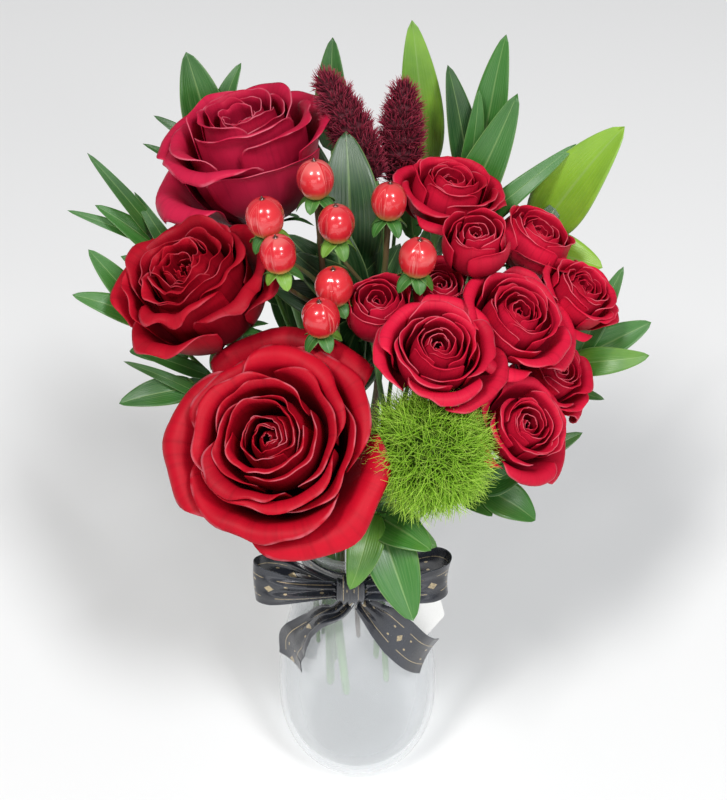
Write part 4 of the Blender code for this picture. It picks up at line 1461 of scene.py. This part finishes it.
@dataclass
class GrassHead:
    """Dyed grass head: a slim spindle under fine bristles that lean to its tip."""

    node: str
    foot: tuple[float, float, float]
    tip: tuple[float, float, float]
    seed: int
    density: float = 760000.0
    bristle: float = 0.0052
    bristle_radius: float = 0.00042
    spindle_radius: float = 0.0086
    finish: FibreFinish = FibreFinish("grass_burgundy", (0.060, 0.003, 0.010),
                                      (0.300, 0.014, 0.045), (0.560, 0.100, 0.150), 0.7)

    def build(self) -> None:
        """Build the spindle and the bristles."""
        foot, tip = from_mouth(self.foot), from_mouth(self.tip)
        length = (tip - foot).length
        place = axis_matrix(foot, (tip - foot).normalized())
        material = self.finish.material()
        outline = [(0.0, 0.0)]
        for step in range(1, 24):
            share = step / 24
            tier = 1 + 0.16 * math.sin(share * 42)
            belly = math.sin(math.pi * (0.10 + 0.85 * share)) ** 0.7
            outline.append((self.spindle_radius * belly * tier, length * share * 0.93))
        outline.append((0.0, length * 0.95))
        points, faces = lathe(outline, 20)
        spindle = Patchwork()
        spindle.add(points, faces, along=0.1, tone=0.4)
        place_piece(spindle.build(self.node + "_spindle", material, 0.0, place), "dyed_grass")
        fibres = FibreTree(self.node + "_bristles", self.density, self.bristle,
                           self.bristle_radius, bend=0.25, tilt=0.35, upright=0.75, seed=self.seed)
        piece = grow(self.node + "_bristle_coat", spindle, fibres, material, place)
        place_piece(piece, "dyed_grass", self.node)


# ---- vase and water

@dataclass
class Vase:
    """Blown glass bottle vase with its water."""

    height: float = VASE_HIGH.z
    bulb_radius: float = (VASE_HIGH.x - VASE_LOW.x) / 2
    bulb_height: float = 0.048
    base_radius: float = 0.023
    neck_radius: float = 0.031
    neck_drop: float = 0.022
    rim_flare: float = 0.005
    fullness: float = 1.15
    wall: float = 0.003
    floor: float = 0.006
    hollow: float = 0.0012
    gap: float = 0.00045
    sides: int = 128

    @property
    def neck_height(self) -> float:
        """Height where the neck is narrowest."""
        return self.height - self.neck_drop

    def outer(self, height: float) -> float:
        """Outer radius of the glass at a height."""
        if height <= self.bulb_height:
            drop = 1 - height / self.bulb_height
            reach = self.bulb_radius - self.base_radius
            return self.base_radius + reach * math.sqrt(max(0.0, 1 - drop ** 2))
        if height <= self.neck_height:
            share = (height - self.bulb_height) / (self.neck_height - self.bulb_height)
            wave = 0.5 + 0.5 * math.cos(math.pi * share ** self.fullness)
            return self.neck_radius + (self.bulb_radius - self.neck_radius) * wave
        share = (height - self.neck_height) / self.neck_drop
        return self.neck_radius + self.rim_flare * (1 - math.cos(share * math.pi / 2))

    def inner(self, height: float) -> float:
        """Radius of the hollow at a height."""
        if height >= self.bulb_height:
            return self.outer(height) - self.wall
        drop = 1 - (height - self.floor) / (self.bulb_height - self.floor)
        floor_radius = self.base_radius - self.wall
        reach = self.bulb_radius - self.wall - floor_radius
        return floor_radius + reach * math.sqrt(max(0.0, 1 - drop ** 2))

    def heights(self, bottom: float, top: float, steps: int) -> list[float]:
        """Heights from the bottom to the top, close together round the bulb's lower curve."""
        low = [bottom + (self.bulb_height - bottom) * (1 - math.cos(math.pi / 2 * step / 16))
               for step in range(17)]
        high = [self.bulb_height + (top - self.bulb_height) * step / steps
                for step in range(1, steps + 1)]
        return low + high

    def build(self) -> None:
        """Build the glass and the water."""
        lip = self.height - self.wall / 2
        outline = [(0.0, self.hollow), (self.base_radius * 0.80, self.hollow * 2 / 3),
                   (self.base_radius - self.hollow, 0.0)]
        outline += [(self.outer(height), height) for height in self.heights(0.0, lip, 60)[1:]]
        middle = (self.outer(lip) + self.inner(lip)) / 2
        for step in range(1, 8):
            angle = math.pi * step / 8
            outline.append((middle + self.wall / 2 * math.cos(angle),
                            lip + self.wall / 2 * math.sin(angle)))
        outline += [(self.inner(height), height)
                    for height in reversed(self.heights(self.floor, lip, 60))]
        outline.append((0.0, self.floor))
        glass = Patchwork()
        glass.add(*lathe(outline, self.sides))
        place = Matrix.Translation(Vector((MOUTH.x, MOUTH.y, 0)))
        finish = GlassFinish("milky_glass", (0.95, 0.955, 0.96), 0.20, 0.80, 1.0)
        piece = glass.build("glass_vase", finish.material(), 0.0, place)
        place_piece(piece, "vase_glass", "vase")
        self.fill(place)

    def fill(self, place: Matrix) -> None:
        """Build the water, with a raised edge where it meets the glass.

        Args:
            place: Matrix that puts it on the vase's axis.
        """
        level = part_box("water")[1].z
        top = level - self.gap
        outline = [(0.0, self.floor + self.gap)]
        outline += [(self.inner(height) - self.gap, height + self.gap)
                    for height in self.heights(self.floor, top, 30)]
        rim = outline[-1][0]
        outline += [(rim - 0.0004, level - 0.0005), (rim - 0.0012, level - 0.0010),
                    (rim - 0.0030, level - 0.0013), (0.0, level - 0.0013)]
        water = Patchwork()
        water.add(*lathe(outline, self.sides))
        finish = GlassFinish("still_water", (0.80, 0.86, 0.84), 0.06, 0.16, 0.5, 25.0)
        place_piece(water.build("vase_water", finish.material(), 0.0, place), "water", "water")


# ---- bow and card

def spread(values: Sequence[float], share: float) -> float:
    """Value at a share of the way through evenly spaced values."""
    return float(np.interp(share, np.linspace(0, 1, len(values)), values))


def sleeve(rows: int, sides: int, ring: Callable[[float, np.ndarray], Sequence[Any]]) -> tuple[
        np.ndarray, np.ndarray, np.ndarray]:
    """Points of a ribbon that closes on itself.

    Args:
        rows: Rows of points across the ribbon.
        sides: Points round it.
        ring: X, Y and Z of a row, from its place across (-1 to 1) and the angles round it.

    Returns:
        Points, how far across each one is, and its angle.
    """
    angle = np.linspace(0, 2 * math.pi, sides, endpoint=False)
    shares = [row / (rows - 1) * 2 - 1 for row in range(rows)]
    grid = [np.stack(np.broadcast_arrays(*ring(share, angle)), axis=1) for share in shares]
    return np.concatenate(grid), np.repeat(shares, sides), np.tile(angle, rows)


@dataclass
class RibbonStrip:
    """Strip of ribbon along a path, gathered into pleats where it is drawn narrow."""

    name: str
    path: Sequence[Vector]
    crosswise: Sequence[Vector]
    draw: Sequence[float]
    width: float = 0.023
    pleats: float = 2.5
    pleat_depth: float = 0.0022
    gather_gain: float = 1.6
    curl: float = 0.0008
    columns: int = 41
    thickness: float = 0.00045

    def build(self, material: bpy.types.Material, held: str, rests_on: list[str],
              node: str) -> None:
        """Build the strip as a sheet.

        Args:
            material: Finish of the ribbon.
            held: How it is held; not used.
            rests_on: Nodes that it rests on.
            node: CAD node that it replaces.
        """
        across = np.linspace(-1, 1, self.columns)
        work = Patchwork()
        rows, runs = [], []
        run = 0.0
        last = len(self.path) - 1
        for number, point in enumerate(self.path):
            if number:
                run += (point - self.path[number - 1]).length
            tangent = slope(self.path, number)
            side = self.crosswise[number]
            side = (side - tangent * side.dot(tangent)).normalized()
            normal = np.array(tangent.cross(side))
            share = spread(self.draw, number / last)
            fold = np.cos(across * math.pi * self.pleats + 0.6) * self.pleat_depth
            lift = fold * (1 - share) * self.gather_gain + self.curl * (across ** 2 - 0.4) * share
            reach = across * self.width / 2 * share
            rows.append(np.array(point) + np.array(side) * reach[:, None] + normal * lift[:, None])
            runs.append(np.full(self.columns, run / self.width))
        work.add(np.concatenate(rows), grid_faces(len(rows), self.columns),
                 across=np.tile(across, len(rows)), run=np.concatenate(runs))
        piece = work.build(self.name, material, self.thickness)
        place_piece(piece, "satin_ribbon", node)
        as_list(rests_on)
        LOG.info("%s: ribbon %.3f m by %.3f m", self.name, self.width, run)


@dataclass
class Bow:
    """Satin ribbon round the neck: band, knot, two loops and two tails."""

    vase: Vase
    width: float = 0.023
    loop_length: float = 0.045
    loop_opening: float = 0.015
    loop_bulge: float = 1.15
    loop_rise: float = 0.0045
    loop_steps: int = 72
    tail_curl: float = 0.0016
    clearance: float = 0.0009
    band_thickness: float = 0.00045
    knot_thickness: float = 0.0006
    knot_pleat: float = 0.105
    finish: SatinFinish = SatinFinish()
    tie_height: float = field(init=False)
    material: bpy.types.Material = field(init=False)

    def build(self) -> None:
        """Build every part of the bow."""
        self.material = self.finish.material()
        middle, half = middle_of("ribbon_band")
        self.tie_height = middle.z
        self.band(half.z * 2)
        self.knot()
        self.loop("bow_left_loop", -1, Vector((-0.93, 0.34, -0.12)), Vector((0.0, 0.30, 0.95)))
        self.loop("bow_right_loop", 1, Vector((0.93, 0.34, 0.02)), Vector((0.05, 0.15, 0.98)))
        self.tail("bow_left_tail",
                  ((262, 8, 9), (255, 16, 9), (243, 23, 9), (231, 36, 7), (220, 52, 7),
                   (215, 62, 6), (217, 72, 5)),
                  (0.42, 0.42, 0.50, 0.62, 0.95, 1.0, 1.0), (0, 20, 48, 42, 8, 0, 0))
        self.tail("bow_right_tail",
                  ((275, 8, 9), (282, 16, 9), (290, 24, 10), (300, 37, 11), (310, 51, 11),
                   (318, 60, 10), (325, 66, 9)),
                  (0.45, 0.60, 0.85, 1.0, 1.0, 1.0, 1.0), (0, -8, -12, -6, 0, 4, 6))

    def band(self, height: float) -> None:
        """Band round the neck.

        Args:
            height: Height of the band.
        """
        def ring(share: float, angle: np.ndarray) -> Sequence[Any]:
            """Row of the band."""
            level = self.tie_height + height / 2 * share
            fold = 0.00035 * math.sin(share * 9) + 0.0002 * np.sin(angle * 7 + share * 3)
            radius = self.vase.outer(level) + self.clearance + fold
            return MOUTH.x + radius * np.cos(angle), MOUTH.y + radius * np.sin(angle), level

        sides, rows = 128, 13
        grid, across, angle = sleeve(rows, sides, ring)
        work = Patchwork()
        work.add(grid, grid_faces(rows, sides, True), across=across,
                 run=angle * self.vase.neck_radius / self.width)
        piece = work.build("ribbon_band_satin", self.material, self.band_thickness)
        place_piece(piece, "satin_ribbon", "ribbon_band")

    def knot(self) -> None:
        """Knot: one turn of ribbon, pleated round the gathered middle of the bow."""
        centre, half = middle_of("bow_knot")

        def ring(share: float, angle: np.ndarray) -> Sequence[Any]:
            """Row of the knot."""
            barrel = math.cos(share * 1.05) ** 0.45
            pleat = (1 + self.knot_pleat * math.cos(share * 14.0 + 0.8)
                     + 0.03 * np.sin(2 * angle + share * 2))
            return (centre.x + half.x * share * 0.98,
                    centre.y + half.y * 1.04 * barrel * pleat * np.cos(angle),
                    centre.z + half.z * 1.02 * barrel * pleat * np.sin(angle))

        sides, rows = 72, 41
        grid, across, angle = sleeve(rows, sides, ring)
        work = Patchwork()
        work.add(grid, [tuple(reversed(quad)) for quad in grid_faces(rows, sides, True)],
                 across=across, run=angle * (half.y + half.z) / 2 / self.width + 0.4)
        piece = work.build("bow_knot_satin", self.material, self.knot_thickness)
        place_piece(piece, "satin_ribbon", "bow_knot")
        core = Patchwork()
        core.add(*lathe(oval(0.42, 0.46, 10), 24), across=0.0, run=0.31)
        stretch = Matrix.Diagonal((half.x * 2, half.y * 2, half.z * 2, 1.0))
        place = Matrix.Translation(centre) @ stretch
        place_piece(core.build("bow_knot_core", self.material, 0.0, place), "satin_ribbon")

    def loop(self, node: str, way: int, outward: Vector, lean: Vector) -> None:
        """One loop of the bow.

        Args:
            node: CAD node of the loop.
            way: -1 for the left loop, 1 for the right one.
            outward: Direction of the loop.
            lean: Direction across its ribbon.
        """
        centre, half = middle_of("bow_knot")
        start = centre + Vector((way * (half.x - 0.001), 0, 0))
        outward = outward.normalized()
        lean = lean.normalized()
        forward = outward.cross(lean).normalized()
        if forward.y > 0:
            forward = -forward
        path, crosswise = [], []
        for step in range(self.loop_steps + 1):
            turn = math.pi * (step / self.loop_steps)
            reach = self.loop_length * math.sin(turn) ** 0.92
            gape = self.loop_opening / 2 * (math.sin(2 * turn) * self.loop_bulge + math.sin(turn))
            rise = self.loop_rise * math.sin(turn) ** 2
            path.append(start + outward * reach + forward * gape + UP * rise)
            crosswise.append((lean + outward * 0.10 * math.sin(2 * turn)).normalized())
        draw = (0.46, 0.66, 0.90, 1.0, 1.0, 1.0, 0.90, 0.66, 0.46)
        strip = RibbonStrip(node + "_satin", path, crosswise, draw, self.width)
        strip.build(self.material, "folded", ["bow_knot"], node)

    def tail(self, node: str, route: Sequence[tuple[float, float, float]],
             draw: Sequence[float], twist: Sequence[float]) -> None:
        """One tail of the bow.

        Args:
            node: CAD node of the tail.
            route: Degrees round the vase, millimetres under the tie and off the glass.
            draw: Width along it, as a share of the full width.
            twist: Turn about its own length, in degrees.
        """
        keys = []
        for degrees, drop, off in route:
            height = self.tie_height - drop * MM
            reach = self.vase.outer(height) + off * MM
            keys.append(round_vase(math.radians(degrees), reach, height))
        path = smooth_path(keys, 12)
        crosswise = []
        last = len(path) - 1
        for number, point in enumerate(path):
            tangent = slope(path, number)
            side = (point - Vector((MOUTH.x, MOUTH.y, point.z))).cross(tangent).normalized()
            turn = math.radians(spread(twist, number / last))
            crosswise.append(Matrix.Rotation(turn, 3, tangent) @ side)
        strip = RibbonStrip(node + "_satin", path, crosswise, draw, self.width,
                            curl=self.tail_curl)
        strip.build(self.material, "hung", ["vase"], node)


@dataclass
class GiftCard:
    """Blank card that leans on the shoulder of the vase."""

    vase: Vase
    tie_height: float
    size: tuple[float, float, float] = (0.040, 0.034, 0.0006)
    corner: float = 0.0022
    bevel: float = 0.002
    angle: float = math.radians(318)
    drop: float = 0.046
    shift: float = 0.009
    turn: float = math.radians(8)
    lean: float = math.radians(10)
    stand_off: float = 0.0014

    def place(self) -> Matrix:
        """Matrix that puts the card where it just meets the glass."""
        height = self.tie_height - self.drop
        half = self.size[1] / 2
        reach = max(self.vase.outer(height + share * half * math.cos(self.lean))
                    + share * half * math.sin(self.lean) for share in (-1.0, -0.5, 0.0, 0.5, 1.0))
        outward = Vector((math.cos(self.angle), math.sin(self.angle), 0))
        sideways = UP.cross(outward)
        centre = outward * (reach + self.stand_off) + sideways * self.shift + UP * height
        centre += Vector((MOUTH.x, MOUTH.y, 0))
        facing = (outward + UP * math.tan(self.lean)).to_track_quat("Z", "Y").to_matrix().to_4x4()
        return Matrix.Translation(centre) @ facing @ Matrix.Rotation(self.turn, 4, "Z")

    def build(self) -> None:
        """Build the card with rounded corners."""
        wide, tall, thick = self.size
        ring = []
        for number, (x, y) in enumerate(((1, -1), (1, 1), (-1, 1), (-1, -1))):
            middle = (x * (wide / 2 - self.corner), y * (tall / 2 - self.corner))
            for step in range(7):
                angle = math.radians(-90 + 90 * number + 15 * step)
                ring.append((middle[0] + self.corner * math.cos(angle),
                             middle[1] + self.corner * math.sin(angle)))
        count = len(ring)
        levels = ((0.90, -0.5), (1.0, -0.3), (1.0, 0.3), (0.90, 0.5))
        points = []
        for share, rise in levels:
            inset = (1 - share) * self.bevel
            for x, y in ring:
                points.append((x - math.copysign(inset, x), y - math.copysign(inset, y),
                               rise * thick))
        faces = grid_faces(len(levels), count, True)
        faces.append(tuple(reversed(range(count))))
        faces.append(tuple(range(3 * count, 4 * count)))
        work = Patchwork()
        work.add(points, faces)
        piece = work.build("blank_gift_card", CardFinish().material(), 0.0, self.place())
        piece.data.shade_flat()
        place_piece(piece, "card", "gift_card")


# ---- studio

@dataclass(frozen=True)
class Lamp:
    """Soft area light: direction, distance, size and power."""

    name: str
    azimuth: float
    elevation: float
    distance: float
    size: tuple[float, float]
    power: float
    colour: Colour = WHITE


def sky(azimuth: float, elevation: float) -> Vector:
    """Direction from degrees to the right of the front and degrees above the floor."""
    high, turn = math.radians(elevation), math.radians(azimuth)
    return Vector((math.sin(turn) * math.cos(high), -math.cos(turn) * math.cos(high),
                   math.sin(high)))


@dataclass
class Studio:
    """Pale floor, soft lights and the camera."""

    lamps: tuple[Lamp, ...] = (
        Lamp("window_left", -36, 54, 5.0, (0.8, 1.3), 150.0, (1.0, 0.99, 0.97)),
        Lamp("window_right", 36, 54, 5.0, (0.8, 1.3), 140.0, (0.98, 0.99, 1.0)),
        Lamp("low_front", -6, 10, 3.6, (2.2, 1.1), 16.0),
        Lamp("low_window", 27, 24, 3.0, (0.42, 0.52), 13.0),
    )
    sky_colour: Colour = (0.96, 0.97, 1.0)
    ambient: float = 0.24
    reach: float = 9.0
    floor_light: Colour = (0.84, 0.84, 0.84)
    floor_shade: Colour = (0.80, 0.805, 0.81)
    aim: tuple[float, float, float] = (0.0037, 0.0, 0.084)
    elevation: float = 40.0
    distance: float = 0.675
    lens: float = 60.0
    sensor: float = 36.0
    nearest: float = 0.02

    def build(self) -> None:
        """Build the floor, the lights and the camera."""
        bpy.context.scene.view_settings.view_transform = "Standard"
        self.floor()
        self.world()
        target = MOUTH + Vector(self.aim)
        for lamp in self.lamps:
            data = bpy.data.lights.new(lamp.name, "AREA")
            data.shape = "RECTANGLE"
            data.size, data.size_y = lamp.size
            data.energy = lamp.power
            data.color = lamp.colour
            light = put(lamp.name, data)
            way = sky(lamp.azimuth, lamp.elevation)
            light.location = target + way * lamp.distance
            light.rotation_euler = way.to_track_quat("Z", "Y").to_euler()
        self.camera(target)

    def floor(self) -> None:
        """Wide pale floor."""
        recipe = Recipe("pale_floor")
        cloud = recipe.noise(1.6, 2.0)
        colour = recipe.mix(cloud * 0.5, self.floor_light, self.floor_shade)
        shader = recipe.principled(Base_Color=colour, Roughness=0.75 + cloud * 0.1,
                                   Specular_IOR_Level=0.25)
        mesh = bpy.data.meshes.new("floor")
        corners = ((-1, -1), (1, -1), (1, 1), (-1, 1))
        mesh.from_pydata([(x * self.reach, y * self.reach, 0) for x, y in corners], [],
                         [(0, 1, 2, 3)])
        show("studio_floor", mesh, recipe.finish(shader))

    def world(self) -> None:
        """Even pale light from all round."""
        world = bpy.data.worlds.new("studio_light")
        bpy.context.scene.world = world
        world.use_nodes = True
        background = world.node_tree.nodes["Background"]
        background.inputs["Color"].default_value = (*self.sky_colour, 1.0)
        background.inputs["Strength"].default_value = self.ambient

    def camera(self, target: Vector) -> None:
        """Camera that looks down at the bouquet from the front.

        Args:
            target: Point in the middle of the view.
        """
        data = bpy.data.cameras.new("camera")
        data.lens = self.lens
        data.sensor_width = self.sensor
        data.clip_start = self.nearest
        camera = put("camera", data)
        back = sky(0.0, self.elevation)
        camera.location = target + back * self.distance
        camera.rotation_euler = back.to_track_quat("Z", "Y").to_euler()
        bpy.context.scene.camera = camera


# ---- bouquet

# The first colour of each petal finish is painted shade for the petal's foot, also used for its
# veins.
CRIMSON = PetalFinish("rose_crimson", (0.030, 0.001, 0.003), (0.300, 0.003, 0.012),
                      (0.520, 0.003, 0.018), (0.700, 0.220, 0.270), 0.50)
MAGENTA = PetalFinish("rose_magenta_red", (0.080, 0.002, 0.010), (0.360, 0.005, 0.030),
                      (0.580, 0.016, 0.066), (0.780, 0.250, 0.330), 0.45)
WINE = PetalFinish("rose_wine", (0.022, 0.001, 0.003), (0.250, 0.002, 0.010),
                   (0.460, 0.004, 0.018), (0.560, 0.110, 0.150), 0.35)
BRIGHT = PetalFinish("spray_rose_bright", (0.080, 0.001, 0.005), (0.400, 0.004, 0.022),
                     (0.650, 0.010, 0.046), (0.760, 0.200, 0.260), 0.45)

ROSES: tuple[tuple[str, PetalFinish, dict[str, Any]], ...] = (
    ("front", CRIMSON, {"size": 0.93, "seed": 3, "spin": 2.4, "petals": 27, "wave": 0.050,
                        "ragged": 0.014, "tip": 0.22}),
    ("left", WINE, {"size": 0.94, "seed": 8, "spin": 0.7, "petals": 26, "wave": 0.085,
                    "height": 1.25, "tip": 0.20}),
    ("top", MAGENTA, {"size": 0.98, "seed": 12, "spin": 1.1, "height": 1.3, "tip": 0.24}),
)
SPRAY_ROSES: tuple[tuple[PetalPath, dict[str, Any]], ...] = (
    (PetalPath.SPRAY, {}),
    (PetalPath.BUD, {"petals": 15, "lean": 0.0, "height": 1.25}),
    (PetalPath.BUD, {"petals": 18, "height": 1.05}),
    (PetalPath.SPRAY, {"height": 1.05}),
    (PetalPath.SPRAY, {}),
    (PetalPath.SPRAY, {}),
    (PetalPath.SPRAY, {}),
    (PetalPath.SPRAY, {"lean": 0.7}),
    (PetalPath.BUD, {"petals": 14, "lean": 0.5, "height": 1.25}),
    (PetalPath.BUD, {"petals": 14, "lean": 0.5, "height": 1.2}),
)
SPRAY_SEED = 20
BERRIES = 8


def main() -> None:
    """Build the whole bouquet and its studio."""
    logging.basicConfig(level=logging.INFO, format="%(name)s %(message)s")
    vase = Vase()
    vase.build()
    bow = Bow(vase)
    bow.build()
    GiftCard(vase, bow.tie_height).build()
    for place, finish, options in ROSES:
        Bloom(f"rose_{place}", f"rose_bloom_{place}", finish, "rose_petals", **options).build()
    for number, (path, options) in enumerate(SPRAY_ROSES, 1):
        Bloom(f"spray_rose_{number}", f"spray_rose_bloom_{number}", BRIGHT, "spray_rose_petals",
              path, seed=SPRAY_SEED + number, **options).build()
    skin = BerryFinish().material()
    sepal = LeafFinish("berry_sepal", veins=6.0, roughness=0.45).material()
    for number in range(1, BERRIES + 1):
        Berry(number).build(skin, sepal)
    Stems().build()
    Foliage().build()
    DianthusHead().build()
    GrassHead("grass_head_left", (10, 68, 172), (-18, 86, 224), 31).build()
    GrassHead("grass_head_right", (22, 80, 161), (24, 92, 216), 37).build()
    Studio().build()


if __name__ == "__main__":
    main()
